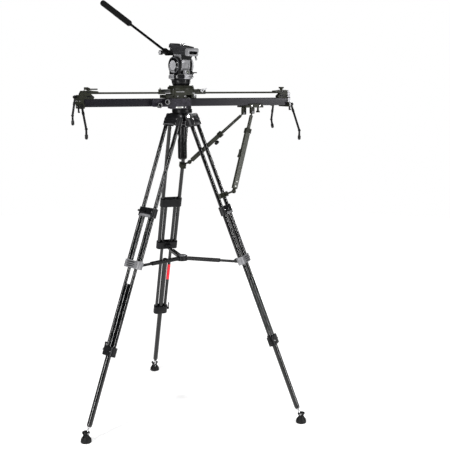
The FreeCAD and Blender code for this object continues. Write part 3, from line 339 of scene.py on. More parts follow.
def make_floor():
    """A pale round floor that glows up to the white of the room away from the lamps."""
    mesh = bpy.data.meshes.new("floor")
    bm = bmesh.new()
    bmesh.ops.create_circle(bm, cap_ends=True, cap_tris=True, segments=96, radius=FLOOR_RADIUS)
    bm.normal_update()
    for face in bm.faces:
        if face.normal.z < 0:
            face.normal_flip()
    bm.to_mesh(mesh)
    bm.free()
    floor = bpy.data.objects.new("floor", mesh)
    bpy.context.scene.collection.objects.link(floor)
    material, tree, shader = new_material("pale_floor")
    cloud = noise(tree, 2.0, 3.0)
    tint = ramp(tree, cloud, "Fac", [(0.3, grey(0.84)), (0.7, grey(0.87))])
    link(tree, tint, "Color", shader, "Base Color")
    shader.inputs["Roughness"].default_value = 0.9
    shader.inputs["Specular IOR Level"].default_value = 0.1
    coords = tree.nodes.new("ShaderNodeTexCoord")
    reach = tree.nodes.new("ShaderNodeVectorMath")
    reach.operation = "LENGTH"
    link(tree, coords, "Object", reach, 0)
    span = tree.nodes.new("ShaderNodeMapRange")
    span.inputs["From Min"].default_value = LIT_RADIUS
    span.inputs["From Max"].default_value = FAR_RADIUS
    span.inputs["To Min"].default_value = FLOOR_NEAR_GLOW
    span.inputs["To Max"].default_value = 1.0
    link(tree, reach, "Value", span, "Value")
    link(tree, span, "Result", shader, "Emission Strength")
    shader.inputs["Emission Color"].default_value = WHITE
    mesh.materials.append(material)


def make_lights():
    """A dim white room seen as plain white, with narrow soft lamps round the object."""
    scene = bpy.context.scene
    scene.view_settings.view_transform = "Standard"
    world = bpy.data.worlds.new("studio")
    scene.world = world
    world.use_nodes = True
    tree = world.node_tree
    room = tree.nodes["Background"]
    room.inputs["Color"].default_value = WHITE
    room.inputs["Strength"].default_value = ROOM_LIGHT
    seen = tree.nodes.new("ShaderNodeBackground")
    seen.inputs["Color"].default_value = WHITE
    seen.inputs["Strength"].default_value = ROOM_WHITE
    ray = tree.nodes.new("ShaderNodeLightPath")
    mix = tree.nodes.new("ShaderNodeMixShader")
    link(tree, ray, "Is Camera Ray", mix, 0)
    link(tree, room, "Background", mix, 1)
    link(tree, seen, "Background", mix, 2)
    link(tree, mix, "Shader", tree.nodes["World Output"], "Surface")
    target = Vector((AXIS.x, AXIS.y, LAMP_AIM))
    for name, place, width, height, power in LAMPS:
        data = bpy.data.lights.new(name, "AREA")
        data.shape = "RECTANGLE"
        data.size = width
        data.size_y = height
        data.energy = power
        lamp = bpy.data.objects.new(name, data)
        scene.collection.objects.link(lamp)
        lamp.location = place
        lamp.rotation_euler = (target - Vector(place)).to_track_quat("-Z", "Y").to_euler()


# ---------------------------------------------------------------- making pieces
def finish_piece(name, bm, key, body, sharp=35):
    """A named, smooth-shaded piece of one material that rides on a body."""
    mesh = bpy.data.meshes.new(name)
    bmesh.ops.recalc_face_normals(bm, faces=bm.faces)
    bm.to_mesh(mesh)
    bm.free()
    for face in mesh.polygons:
        face.use_smooth = True
    mesh.set_sharp_from_angle(angle=math.radians(sharp))
    mesh.materials.append(M[key])
    piece = bpy.data.objects.new(name, mesh)
    bpy.context.scene.collection.objects.link(piece)
    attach(piece, body)
    return piece


def aim(point, axis, up=None):
    """Frame at point whose Z runs along axis."""
    z = Vector(axis).normalized()
    guide = Vector(up) if up else (Z if abs(z.z) < 0.9 else Y)
    x = guide.cross(z).normalized()
    y = z.cross(x)
    frame_matrix = Matrix((x, y, z)).transposed().to_4x4()
    frame_matrix.translation = point
    return frame_matrix


def turned(bm, place, rings, steps=24):
    """A closed turned body. rings are (radius, height) in millimetres; a radius may depend on the angle."""
    loops = []
    for radius, height in rings:
        loop = []
        for k in range(steps):
            angle = 2 * math.pi * k / steps
            r = radius(angle) if callable(radius) else radius
            point = Vector((r * math.cos(angle), r * math.sin(angle), height))
            loop.append(bm.verts.new(place @ (point * MM)))
        loops.append(loop)
    for low, high in zip(loops, loops[1:]):
        for k in range(steps):
            n = (k + 1) % steps
            bm.faces.new((low[k], low[n], high[n], high[k]))
    bm.faces.new(loops[0])
    bm.faces.new(loops[-1])


def band(bm, place, rings, steps=32):
    """A closed hoop: rings are the corners of its cross-section, (radius, height) in millimetres."""
    loops = []
    for radius, height in rings:
        loop = []
        for k in range(steps):
            angle = 2 * math.pi * k / steps
            point = Vector((radius * math.cos(angle), radius * math.sin(angle), height))
            loop.append(bm.verts.new(place @ (point * MM)))
        loops.append(loop)
    for i, loop in enumerate(loops):
        other = loops[(i + 1) % len(loops)]
        for k in range(steps):
            n = (k + 1) % steps
            bm.faces.new((loop[k], loop[n], other[n], other[k]))


def slab(bm, place, outline, low, high, bevel=0.4):
    """An outline in millimetres carried from low to high, with its edges broken."""
    bottom = [bm.verts.new(place @ (Vector((x, y, low)) * MM)) for x, y in outline]
    top = [bm.verts.new(place @ (Vector((x, y, high)) * MM)) for x, y in outline]
    faces = [bm.faces.new(bottom), bm.faces.new(top)]
    for k in range(len(outline)):
        n = (k + 1) % len(outline)
        faces.append(bm.faces.new((bottom[k], bottom[n], top[n], top[k])))
    if bevel:
        edges = list({edge for face in faces for edge in face.edges})
        bmesh.ops.bevel(bm, geom=edges, offset=bevel * MM, segments=2, affect="EDGES", profile=0.5)


CORNER_STEPS = 4


def rectangle(x0, x1, y0, y1, corner=0.0):
    """Outline of a rectangle, its corners rounded off by corner."""
    if not corner:
        return [(x0, y0), (x1, y0), (x1, y1), (x0, y1)]
    points = []
    for cx, cy, start in ((x1 - corner, y0 + corner, -90), (x1 - corner, y1 - corner, 0),
                          (x0 + corner, y1 - corner, 90), (x0 + corner, y0 + corner, 180)):
        for k in range(CORNER_STEPS + 1):
            angle = math.radians(start + 90 / CORNER_STEPS * k)
            points.append((cx + corner * math.cos(angle), cy + corner * math.sin(angle)))
    return points


def hexagon(radius):
    """Radius of a hexagonal socket at an angle."""
    def at_angle(angle):
        return radius * math.cos(math.pi / 6) / math.cos(angle % (math.pi / 3) - math.pi / 6)
    return at_angle


def lobes(radius, depth, count):
    """Radius of a knurled rim at an angle."""
    def at_angle(angle):
        return radius + depth * math.cos(count * angle)
    return at_angle


def screw(bm, place, radius, height):
    """Socket-head screw seated at place."""
    turned(bm, place, [(radius, -0.3), (radius, height - 0.12 * radius), (radius * 0.88, height),
                       (hexagon(radius * 0.55), height), (hexagon(radius * 0.5), height * 0.35)])


def screws(name, body, radius, height, spots, key="steel"):
    """One piece of equal socket-head screws at (point, direction) spots."""
    bm = bmesh.new()
    for point, axis in spots:
        screw(bm, aim(point, axis), radius, height)
    return finish_piece(name, bm, key, body)


def grip_cap(bm, place, radius, height, count):
    """Knurled cap ring for a hand knob's face."""
    rim = lobes(radius, 0.35, count)
    turned(bm, place, [(rim, -0.2), (rim, height * 0.7), (radius * 0.9, height), (radius * 0.45, height),
                       (radius * 0.4, height * 0.4)], 72)


# ---------------------------------------------------------------- beam, belt and ends
BEAM_RIGHT_MM = BEAM_LEFT_MM + 1000.0
END_THICK = 13.0
BELT_Y = -28.0
BELT_LOW, BELT_HIGH = 1554.0, 1562.5
BELT_EDGE = BELT_HIGH - 0.1   # its upper edge stays clear of the tension screws
BELT_FRONT = -1.0             # its plain face, from its middle
BELT_PITCH = 5.0
BELT_TOOTH = ((0.0, 0.0), (1.4, 0.0), (2.0, 1.0), (3.9, 1.0), (4.5, 0.0))   # along one pitch, and its depth
BELT_INSET = 8                # the belt ends this far inside the beam's ends
TOWER_TOP = 1569.0
CARRIAGE_X = 10.0


def make_belt():
    """Toothed belt: flat front, trapezoid teeth behind."""
    bm = bmesh.new()
    x0, x1 = BEAM_LEFT_MM + BELT_INSET, BEAM_RIGHT_MM - BELT_INSET
    teeth = int((x1 - x0) / BELT_PITCH)
    back = []
    for k in range(teeth):
        left = x0 + BELT_PITCH * k
        back += [(left + along, depth) for along, depth in BELT_TOOTH]
    back.append((x1, 0.0))
    rows = []
    for x, y in back:
        corners = ((BELT_FRONT, BELT_LOW), (y, BELT_LOW), (y, BELT_EDGE), (BELT_FRONT, BELT_EDGE))
        rows.append([bm.verts.new(at(x, BELT_Y + dy, z)) for dy, z in corners])
    for a, b in zip(rows, rows[1:]):
        for k in range(4):
            n = (k + 1) % 4
            bm.faces.new((a[k], a[n], b[n], b[k]))
    bm.faces.new(rows[0])
    bm.faces.new(rows[-1])
    belt = finish_piece("toothed_belt", bm, "belt", "root", 20)
    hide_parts("drive_belt")


END_SCREWS = ((-38, 1524), (38, 1524), (10, 1524), (38, 1500), (14, 1500))   # across the beam, and height
TOWER_SCREWS = ((8, -9), (8, 9), (36, -10), (36, 10))                        # in from the end, and across


def make_end_details():
    """Screws, pads and ribs on the end plates and belt towers."""
    for side, word, end in ((-1, "left", BEAM_LEFT_MM), (1, "right", BEAM_RIGHT_MM)):
        face = end + side * END_THICK
        out = X * side
        spots = [(at(face, y, z), out) for y, z in END_SCREWS]
        screws("end_plate_screws_" + word, "root", 3.2, 2.2, spots)
        spots = [(at(end - side * x, BELT_Y + y, TOWER_TOP), Z) for x, y in TOWER_SCREWS]
        screws("belt_tower_screws_" + word, "root", 2.4, 1.8, spots, "dark_steel")
        bm = bmesh.new()
        front = aim(at(end - side * 26, BELT_Y - 16, 1543), -Y)
        slab(bm, front, rectangle(-15, 15, -4.5, 3.5, 2.0), -0.2, 1.2)
        slab(bm, front, rectangle(-9, 9, 16.0, 20.5, 1.0), -0.2, 0.8, 0.2)
        piece = finish_piece("tower_pad_" + word, bm, "black_cast", "root")
        bm = bmesh.new()
        for k in range(3):
            x = end - side * (6 + 8 * k)
            rib = aim(at(x, -45.0, 1541 - 2 * k), -Y)
            slab(bm, rib, rectangle(-2.2, 2.2, -5, 5, 1.0), -1.0, 1.0, 0.3)
        finish_piece("tower_ribs_" + word, bm, "olive", "root")


DECK_TOP = 1572
RING_TOP = 1590.6
GUIDE_TOP = 1574.5
WHEEL_Z = 1540.6
AXLE_CAP = [(4.2, -0.8), (4.2, 0.6), (3.4, 1.4), (1.2, 1.4), (0.9, 0.9)]


def make_carriage_details():
    """Screws, axle caps, light-grey strips along edges as painted highlights, guide pads and the bubble level
    of the carriage.
    """
    cx = CARRIAGE_X
    screws("fan_screws", "carriage", 3.8, 3.0, [(at(cx + dx, -52, 1542.5), -Y) for dx in (-36, 1)])
    spots = [(at(cx - 52, dy, DECK_TOP), Z) for dy in (-42, 42)]
    screws("carriage_deck_screws", "carriage", 3.4, 2.2, spots)
    ring = [(at(cx + 53 * math.cos(a), 53 * math.sin(a), RING_TOP), Z)
            for a in (math.radians(30 + 60 * k) for k in range(6))]
    screws("bowl_ring_screws", "carriage", 2.6, 1.6, ring, "dark_steel")
    guide_tops = [(at(cx + dx, BELT_Y + dy, GUIDE_TOP), Z) for dx in (-104, -72, 74, 98) for dy in (-7, 7)]
    screws("belt_guide_screws", "carriage", 2.2, 1.6, guide_tops)
    bm = bmesh.new()
    for x in (cx - 74, cx + 46):
        for y, axis in ((-46, -Y), (46, Y)):
            turned(bm, aim(at(x, y, WHEEL_Z), axis), AXLE_CAP)
    finish_piece("axle_caps", bm, "dark_steel", "carriage")
    # Painted highlights: thin light-grey strips along the carriage's edges.
    bm = bmesh.new()
    for side in (-1, 1):
        edge = aim(at(cx - 24, side * 52, 1563), Y * side)
        slab(bm, edge, rectangle(-20, 20, -1.1, 1.1, 0.8), -0.3, 1.0, 0.3)
    for x0, x1, y in ((cx - 92, cx - 66, BELT_Y - 12), (cx + 36, cx + 47, -52)):
        edge = aim(at(x0, y, 1556.5), -Y, Z)
        slab(bm, edge, rectangle(0, x1 - x0, -1.4, 1.4, 0.8), -0.3, 1.0, 0.3)
    slab(bm, aim(at(cx + 46, -46, 1543), -Y, Z), rectangle(0, 6, -6, 6, 1.0), -0.3, 1.0, 0.3)
    finish_piece("carriage_highlight_strips", bm, "light_cast", "carriage")
    bm = bmesh.new()
    for x0, x1 in ((cx - 117, cx - 62), (cx + 56, cx + 78)):
        middle = (x0 + x1) / 2
        pad = rectangle(x0 - middle + 6, x1 - middle - 6, -4, 4, 2.0)
        slab(bm, aim(at(middle, BELT_Y - 12, 1566), -Y), pad, -0.2, 1.0, 0.3)
    finish_piece("belt_guide_pads", bm, "black_cast", "carriage")
    bm = bmesh.new()
    cup = aim(at(cx - 53, 0, 1586), Z)
    turned(bm, cup, [(5.5, -0.5), (5.5, 3.0), (4.8, 4.0), (3.6, 4.0), (3.2, 3.2)], 32)
    turned(bm, cup, [(3.1, 3.0), (2.6, 4.2), (1.0, 4.8)], 24)
    finish_piece("bowl_level_cup", bm, "steel", "carriage")


SADDLE_FRONT = -60.0
JAW_FRONT = -62              # front face of the jaws that hold the beam
LEVEL_Z = 1493
SADDLE_SCREWS = ((-56, 1526), (30, 1526), (-56, 1491), (-12, 1526), (12, 1526))
JAW_SCREWS = ((-140, 1524), (-106, 1524), (-72, 1500))
SADDLE_KNOBS = (("outer", -122.0, 1504.0, 13.5), ("inner", -87.0, 1518.0, 15.0))   # x, height and radius
SADDLE_KNOB_REACH = 24       # from the jaw to a knob's face


def make_saddle_details():
    """Bar level, screws, ribs and knob faces on the saddle's front."""
    bm = bmesh.new()
    slab(bm, aim(at(-15, SADDLE_FRONT, LEVEL_Z), -Y), rectangle(-23, 12, -2.8, 2.8, 1.2), -0.3, 1.6, 0.4)
    finish_piece("level_bar", bm, "white", "root")
    bm = bmesh.new()
    turned(bm, aim(at(-24, SADDLE_FRONT - 1.3, LEVEL_Z), X), [(0.9, -8), (1.8, -7), (1.8, 14), (0.9, 15)])
    finish_piece("level_bar_vial", bm, "vial", "root")
    bm = bmesh.new()
    turned(bm, aim(at(9, SADDLE_FRONT - 0.2, LEVEL_Z), -Y), [(2.0, -0.3), (2.0, 0.9), (1.5, 1.4)])
    finish_piece("level_bar_dot", bm, "white", "root")
    bm = bmesh.new()
    grip_cap(bm, aim(at(28, SADDLE_FRONT, 1491), -Y), 7.4, 5.0, 24)
    finish_piece("saddle_side_screw", bm, "knob", "root")
    spots = [(at(x, SADDLE_FRONT, z), -Y) for x, z in SADDLE_SCREWS]
    screws("saddle_screws", "root", 3.0, 2.2, spots, "dark_steel")
    spots = [(at(x, JAW_FRONT, z), -Y) for x, z in JAW_SCREWS]
    screws("jaw_screws", "root", 2.8, 2.0, spots, "dark_steel")
    bm = bmesh.new()
    for k in range(9):
        rib = aim(at(-40 + 8 * k, SADDLE_FRONT, 1509), -Y)
        slab(bm, rib, rectangle(-2.6, 2.6, -7, 7, 1.2), -0.3, 0.9, 0.3)
    finish_piece("saddle_ribs", bm, "saddle", "root")
    for word, x, z, radius in SADDLE_KNOBS:
        face = aim(at(x, JAW_FRONT - 0.4 - SADDLE_KNOB_REACH, z), -Y)
        bm = bmesh.new()
        inner, outer = radius * 0.62, radius * 0.74
        band(bm, face, [(inner, -0.3), (outer, -0.3), (outer, 0.7),
                        (radius * 0.71, 1.2), (radius * 0.65, 1.2), (inner, 0.7)], 48)
        finish_piece("saddle_knob_rim_" + word, bm, "mid_cast", "saddle_screw_" + word)
        bm = bmesh.new()
        turned(bm, face, [(radius * 0.5, -0.3), (radius * 0.5, 0.6), (radius * 0.4, 1.0), (radius * 0.2, 1.0),
                          (radius * 0.16, 0.4)], 32)
        finish_piece("saddle_knob_cap_" + word, bm, "gloss_black", "saddle_screw_" + word)


# ---------------------------------------------------------------- head
HEAD_TURN = 20.0
TILT_Z = 1683.0
TILT_REST = 10.0
HEAD = Matrix.Translation(at(CARRIAGE_X, 0, 0)) @ Matrix.Rotation(math.radians(HEAD_TURN), 4, "Z")
TILT_AT = Matrix.Translation(Z * TILT_Z * MM)
PLATFORM = HEAD @ TILT_AT @ Matrix.Rotation(math.radians(TILT_REST), 4, "X") @ TILT_AT.inverted()


def on(base, x, y, z, axis):
    """Frame at a place and direction given in the head's or platform's own millimetres."""
    return base @ aim(Vector((x, y, z)) * MM, axis)


def on_z(base, z):
    """The base's own axes, lifted to height z."""
    return base @ Matrix.Translation(Z * z * MM)


CAP_X = -47.0                 # outer face of the left tilt cap
CHEEK_X = 43                  # outer faces of the two cheeks
HOUSING_FRONT = -48
LEVEL_WINDOW_Z = 1651
PLATE_SIDE = 31
PAD_TOP = 1774
BAR_PIVOT = (-46.4, 40, 1733)
BAR_KNOB_REACH = 16.4 + 37    # from the bar's pivot to the face of its clamp knob


def make_head_details():
    """Rims, plates, ribs, level, scale, screws and pads of the fluid head."""
    bm = bmesh.new()
    turned(bm, on(HEAD, CAP_X, 0, TILT_Z, -X), [(24.6, -0.4), (24.6, 0.3), (24.0, 0.5)], 48)
    finish_piece("cap_dish_left", bm, "gloss_black", "pan_head")
    # Painted recess shade: the light disc sits off-centre on the black dish, leaving a black crescent on one
    # side.
    bm = bmesh.new()
    turned(bm, on(HEAD, CAP_X - 0.4, 2.2, TILT_Z - 0.5, -X),
           [(22.0, -0.3), (22.0, 0.5), (21.2, 1.0), (19.6, 1.0), (19.2, 0.8)], 48)
    finish_piece("cap_disc_left", bm, "light_cast", "pan_head")
    bm = bmesh.new()
    slab(bm, on(PLATFORM, 0, -33, TILT_Z + 23, -Y), rectangle(-25, 25, -9.5, 7, 2.5), -0.3, 1.0, 0.4)
    finish_piece("neck_plate", bm, "mid_cast", "tilt_head")
    bm = bmesh.new()
    band(bm, on(HEAD, -CHEEK_X, 0, TILT_Z, -X),
         [(33.4, 0), (36.6, 0), (36.6, 1.4), (35.9, 2.0), (34.1, 2.0), (33.4, 1.4)], 64)
    finish_piece("cap_rim_left", bm, "grey_cast", "pan_head")
    bm = bmesh.new()
    for k in range(12):
        angle = math.radians(30 * k + 8)
        slab(bm, on(HEAD, CHEEK_X, 0, TILT_Z, X) @ Matrix.Rotation(angle, 4, "Z"),
             rectangle(17, 27, -1.4, 1.4, 1.0), -0.3, 1.0, 0.3)
    finish_piece("cheek_ribs_right", bm, "grey_cast", "pan_head")
    bm = bmesh.new()
    window = on(HEAD, 0, HOUSING_FRONT, LEVEL_WINDOW_Z, -Y)
    band(bm, window, [(5.2, -0.3), (7.6, -0.3), (7.6, 1.0), (7.0, 1.6), (5.8, 1.6), (5.2, 1.0)], 40)
    finish_piece("level_window_rim", bm, "dark_steel", "pan_head")
    bm = bmesh.new()
    turned(bm, window, [(5.1, -0.3), (5.1, 0.6), (3.6, 1.3), (1.6, 1.6)], 32)
    finish_piece("level_window_glass", bm, "vial", "pan_head")
    bm = bmesh.new()
    for z in (1626.0, 1630.0, 1634.0):
        band(bm, on(HEAD, 0, 0, z, Z), [(56.9, -0.8), (57.7, -0.8), (57.7, 0.8), (56.9, 0.8)], 96)
    finish_piece("pan_ring_grooves", bm, "plastic", "pan_head", 60)
    spots = [(HEAD @ (Vector((side * CHEEK_X, dy, 1655)) * MM), HEAD.to_3x3() @ (X * side))
             for side in (-1, 1) for dy in (-26, 26)]
    screws("housing_screws", "pan_head", 2.4, 1.8, spots, "dark_steel")
    bm = bmesh.new()
    for k in range(19):
        long = 5.0 if k % 5 == 0 else 2.8
        mark = on(PLATFORM, PLATE_SIDE, -36 + 4 * k, 1748, X)
        slab(bm, mark, rectangle(-0.45, 0.45, -long / 2, long / 2), -0.2, 0.35, 0)
    finish_piece("platform_scale", bm, "white", "tilt_head")
    spots = [(PLATFORM @ (Vector((side * PLATE_SIDE, y, 1739.5)) * MM), PLATFORM.to_3x3() @ (X * side))
             for side in (-1, 1) for y in (-20, 20)]
    screws("platform_screws", "tilt_head", 2.4, 1.6, spots, "dark_steel")
    bm = bmesh.new()
    for k in range(15):
        y = -44 + 7 * k
        for x0, x1 in ((-24, -6.5), (6.5, 24)):
            slab(bm, on_z(PLATFORM, PAD_TOP), rectangle(x0, x1, y, y + 3), -0.2, 0.6, 0.2)
    finish_piece("pad_ribs", bm, "rubber", "sliding_plate")
    bm = bmesh.new()
    turned(bm, on(PLATFORM, 28, 60, 1761, X), [(2.6, -0.3), (2.6, 3.0), (2.0, 3.6)])
    finish_piece("plate_catch_button", bm, "light_cast", "sliding_plate")
    bm = bmesh.new()
    x, y, z = BAR_PIVOT
    turned(bm, on(PLATFORM, x - BAR_KNOB_REACH, y, z, -X),
           [(8.0, -0.4), (8.0, 0.6), (7.0, 1.4), (2.0, 1.4), (1.6, 0.8)], 32)
    finish_piece("bar_knob_cap", bm, "light_cast", "handle_knob")
    bm = bmesh.new()
    band(bm, on(HEAD, 35.5, 0, TILT_Z, X), [(39.8, 0), (40.6, 0.4), (40.6, 6.6), (39.8, 7.0)], 72)
    finish_piece("cheek_band_right", bm, "light_cast", "pan_head")


BAR_SLOPE = 17.0              # degrees up from the platform
BAR_ASIDE = 8.0               # the bar's middle, out from its pivot
BAR_START = 14
BAR_LENGTH = 552.0
GRIP_LENGTH = 250.0


def make_grip():
    """Foam grip: a soft sleeve with crowned ends over the bar, its end plug and its stop collar."""
    slope = math.radians(BAR_SLOPE)
    along = Vector((0, math.cos(slope), math.sin(slope)))
    x, y, z = BAR_PIVOT
    start = Vector((x - BAR_ASIDE, y, z)) + along * BAR_START + along * (BAR_LENGTH - GRIP_LENGTH)
    place = PLATFORM @ aim(start * MM, along)
    rings = [(6.3, 0.4), (10.5, 0.4), (12.6, 1.2), (14.0, 3.0), (14.7, 6.0)]
    steps = 46
    for k in range(steps + 1):
        height = 9 + 232.0 * k / steps
        waves = 0.25 * math.sin(height * 0.21) ** 2
        rings.append((14.8 - waves - 0.2 * math.sin(height * 0.047), height))
    rings += [(14.6, 244), (13.9, 246.8), (12.5, 248.6), (10.0, 249.4)]
    bm = bmesh.new()
    turned(bm, place, rings, 40)
    sleeve = finish_piece("foam_sleeve", bm, "foam", "handle", 60)
    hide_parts("foam_grip")
    bm = bmesh.new()
    turned(bm, place, [(9.0, 248.9), (9.0, 249.6), (8.2, 249.95), (3.0, 249.95), (2.6, 249.5)], 32)
    finish_piece("grip_end_plug", bm, "gloss_black", "handle")
    bm = bmesh.new()
    band(bm, place, [(6.05, -9), (8.2, -9), (8.8, -7.5), (8.8, -1.5), (8.2, 0.2), (6.05, 0.2)], 32)
    finish_piece("grip_stop_collar", bm, "plastic", "handle")


# ---------------------------------------------------------------- tripod
TRIPOD_X = 14.0
HINGE_R = 47.0
HINGE_Z = 1452.0
FOOT_R = 588.0
FOOT_Z = FLOOR_MM + 22.0
FOOT_BEARINGS = {"left": -68.3, "right": 48.3, "back": 176.0}   # degrees round from the front
YOKE_S, BRACKET_S, CLAMP_S = 460.0, 706.0, 1110.0   # distances down the leg from its hinge
SLANT = math.atan2(FOOT_R - HINGE_R, HINGE_Z - FOOT_Z)
SHOULDER_X = 41              # screws of the shoulder, bracket and yoke, across the leg
MID_X = 23.0                 # the middle tubes' middles, across the leg
MID_TUBE_R = 8.0
MID_CLAMP_X = 24
RED_FROM, RED_TO = 830.0, 920.0   # the red strip's ends, down the leg


def leg_out(key):
    """The level direction from the tripod's middle to a foot."""
    turn = math.radians(FOOT_BEARINGS[key])
    return Vector((math.sin(turn), -math.cos(turn), 0))


def leg_matrix(key):
    """A leg's frame: X across, Y outward, Z up the leg, origin at its hinge."""
    out = leg_out(key)
    across = Vector((out.y, -out.x, 0))
    normal = out * math.cos(SLANT) + Z * math.sin(SLANT)
    matrix = Matrix((across, normal, across.cross(normal))).transposed().to_4x4()
    matrix.translation = at(TRIPOD_X, 0, HINGE_Z) + out * HINGE_R * MM
    return matrix


def leg_spot(matrix, x, y, s, axis):
    """Frame on a leg, x across, y outward and s down it, pointing along one of the leg's own directions."""
    return matrix @ aim(Vector((x, y, -s)) * MM, axis)


def make_leg_details(key):
    """Screws, trims and ribs of one leg, and the bead and fork screws of its foot."""
    leg = leg_matrix(key)
    bm = bmesh.new()
    for side in (-1, 1):
        for s in (20, 40):
            screw(bm, leg_spot(leg, side * SHOULDER_X, 17, s, Y), 2.8, 1.8)
        screw(bm, leg_spot(leg, side * 42, 0, 0, X * side), 6.0, 1.6)
        screw(bm, leg_spot(leg, side * SHOULDER_X, 17, BRACKET_S + 2, Y), 2.8, 1.8)
    finish_piece("leg_screws_" + key, bm, "steel", "root")
    bm = bmesh.new()
    slab(bm, leg_spot(leg, 0, 17, 43, Y), rectangle(-30, 30, -1.6, 1.6, 1.0), -0.2, 1.2, 0.4)
    finish_piece("shoulder_trim_" + key, bm, "sleeve", "root")
    bm = bmesh.new()
    for dz in (-9, 0, 9):
        rib = leg_spot(leg, 0, 19, BRACKET_S + 2 + dz, Y)
        slab(bm, rib, rectangle(-25, 25, -2.2, 2.2, 1.0), -0.2, 1.0, 0.3)
    finish_piece("bracket_ribs_" + key, bm, "plastic", "root")
    bm = bmesh.new()
    for side in (-1, 1):
        screw(bm, leg_spot(leg, side * SHOULDER_X, 15, YOKE_S, Y), 2.6, 1.6)
        screw(bm, leg_spot(leg, side * MID_CLAMP_X, 18, CLAMP_S, Y), 2.8, 1.8)
    finish_piece("mid_screws_" + key, bm, "steel", "leg_mid_" + key)
    bm = bmesh.new()
    for dz in (-12, -4, 4, 12):
        rib = leg_spot(leg, 0, 18, CLAMP_S + dz, Y)
        slab(bm, rib, rectangle(-15, 15, -1.8, 1.8, 1.0), -0.2, 1.0, 0.3)
    slab(bm, leg_spot(leg, 0, -18, CLAMP_S, -Y), rectangle(-20, 20, -14, 14, 3.0), -0.2, 1.0, 0.4)
    finish_piece("clamp_ribs_" + key, bm, "plastic", "leg_mid_" + key)
    out = leg_out(key)
    foot_place = at(TRIPOD_X, 0, FLOOR_MM) + out * FOOT_R * MM
    foot = aim(foot_place, Z, out)
    bm = bmesh.new()
    band(bm, foot, [(22.6, 11.5), (24.2, 12.0), (23.8, 14.4), (22.0, 15.0)], 48)
    finish_piece("foot_beads_" + key, bm, "rubber", "leg_foot_" + key)
    bm = bmesh.new()
    across = Z.cross(out)
    for side in (-1, 1):
        screw(bm, aim(foot_place + Z * 45 * MM + across * side * 16.6 * MM, across * side), 3.0, 1.8)
    finish_piece("foot_fork_screws_" + key, bm, "steel", "leg_foot_" + key)


def make_red_strip():
    """A plain red strip wrapped on the front of one middle-stage tube of the back leg."""
    leg = leg_matrix("back")
    bm = bmesh.new()
    rows = []
    for s in (RED_FROM, RED_TO):
        inner, outer = [], []
        for k in range(13):
            angle = math.radians(-170 + 160 * k / 12)
            for ring, radius in ((inner, MID_TUBE_R + 0.02), (outer, MID_TUBE_R + 0.35)):
                point = Vector((MID_X + radius * math.cos(angle), radius * math.sin(angle), -s))
                ring.append(bm.verts.new(leg @ (point * MM)))
        rows.append(inner + outer[::-1])
    count = len(rows[0])
    for k in range(count):
        n = (k + 1) % count
        bm.faces.new((rows[0][k], rows[0][n], rows[1][n], rows[1][k]))
    bm.faces.new(rows[0])
    bm.faces.new(rows[1])
    finish_piece("red_strip", bm, "red", "leg_mid_back")



def make_tripod_details():
    """Leg details, the red strip, the spreader's cap and the tie-down's rings and end."""
    for key in LEGS:
        make_leg_details(key)
    make_red_strip()
    bm = bmesh.new()
    turned(bm, aim(at(7, 0, 791), Z),
           [(22, -0.4), (22, 1.6), (19, 3.4), (12, 4.2), (9.5, 4.2), (8.6, 3.0)], 48)
    finish_piece("spreader_cap", bm, "sleeve", "root")
    bm = bmesh.new()
    for z in (1412.0, 1425.5):
        band(bm, aim(at(TRIPOD_X, 0, z), Z), [(16.3, -1.2), (17.4, -0.8), (17.4, 0.8), (16.3, 1.2)], 48)
    finish_piece("tie_down_rings", bm, "grey_cast", "tie_down")
    bm = bmesh.new()
    turned(bm, aim(at(TRIPOD_X, 0, 1251), -Z), [(13, -0.4), (13, 1.0), (11, 2.2), (4, 2.6)], 32)
    finish_piece("tie_down_end_cap", bm, "knob", "tie_down")


# ---------------------------------------------------------------- braces
FRONT_BRACE_TOP, BACK_BRACE_TOP = (358.0, -30.0, 1466.0), (330.0, 4.0, 1461.0)
FRONT_BRACE_END = (216, -138, 1105)
PIVOT_CAP = [(7.5, -0.3), (7.5, 2.2), (6.4, 3.0), (2.6, 3.0), (2.2, 1.8)]


def make_brace_details():
    """Pivot caps, clamp screws and the two marks on the front brace."""
    bm = bmesh.new()
    for x, y, z in (FRONT_BRACE_TOP, BACK_BRACE_TOP):
        for side in (-1, 1):
            turned(bm, aim(at(x, y + side * 10, z), Y * side), PIVOT_CAP, 32)
    finish_piece("brace_pivots", bm, "dark_steel", "root")
    spots = [(at(x, y, 1496), Y * (1 if y > 0 else -1)) for x in (346, 390) for y in (-54, 54)]
    screws("beam_clamp_screws", "root", 3.0, 2.0, spots)
    top, lower = at(*FRONT_BRACE_TOP), at(*FRONT_BRACE_END)
    along = (lower - top).normalized()
    side = along.cross(Y).normalized()
    face = along.cross(side)
    if face.y > 0:
        face = -face
    length = (lower - top).length
    dots = [(top + along * (length - gap * MM) + face * 9 * MM, face) for gap in (24.0, 46.0)]
    screws("brace_dots", "root", 2.6, 1.2, dots, "white")


# ---------------------------------------------------------------- faces of the CAD nodes
LEG_HALF_WIDTH, LEG_HALF_DEPTH = 0.0545, 0.022     # metres in a leg's own frame
HIGHLIGHT_INNER, HIGHLIGHT_TOP = -0.043, -0.012          # where the right shoulder's end is painted lighter as a painted highlight, across and down the leg
COLLAR_LOW, COLLAR_HIGH, COLLAR_FRONT = -0.4835, -0.473, 0.012
STUD_RADIUS, STUD_TOP = 0.0096, -1.3


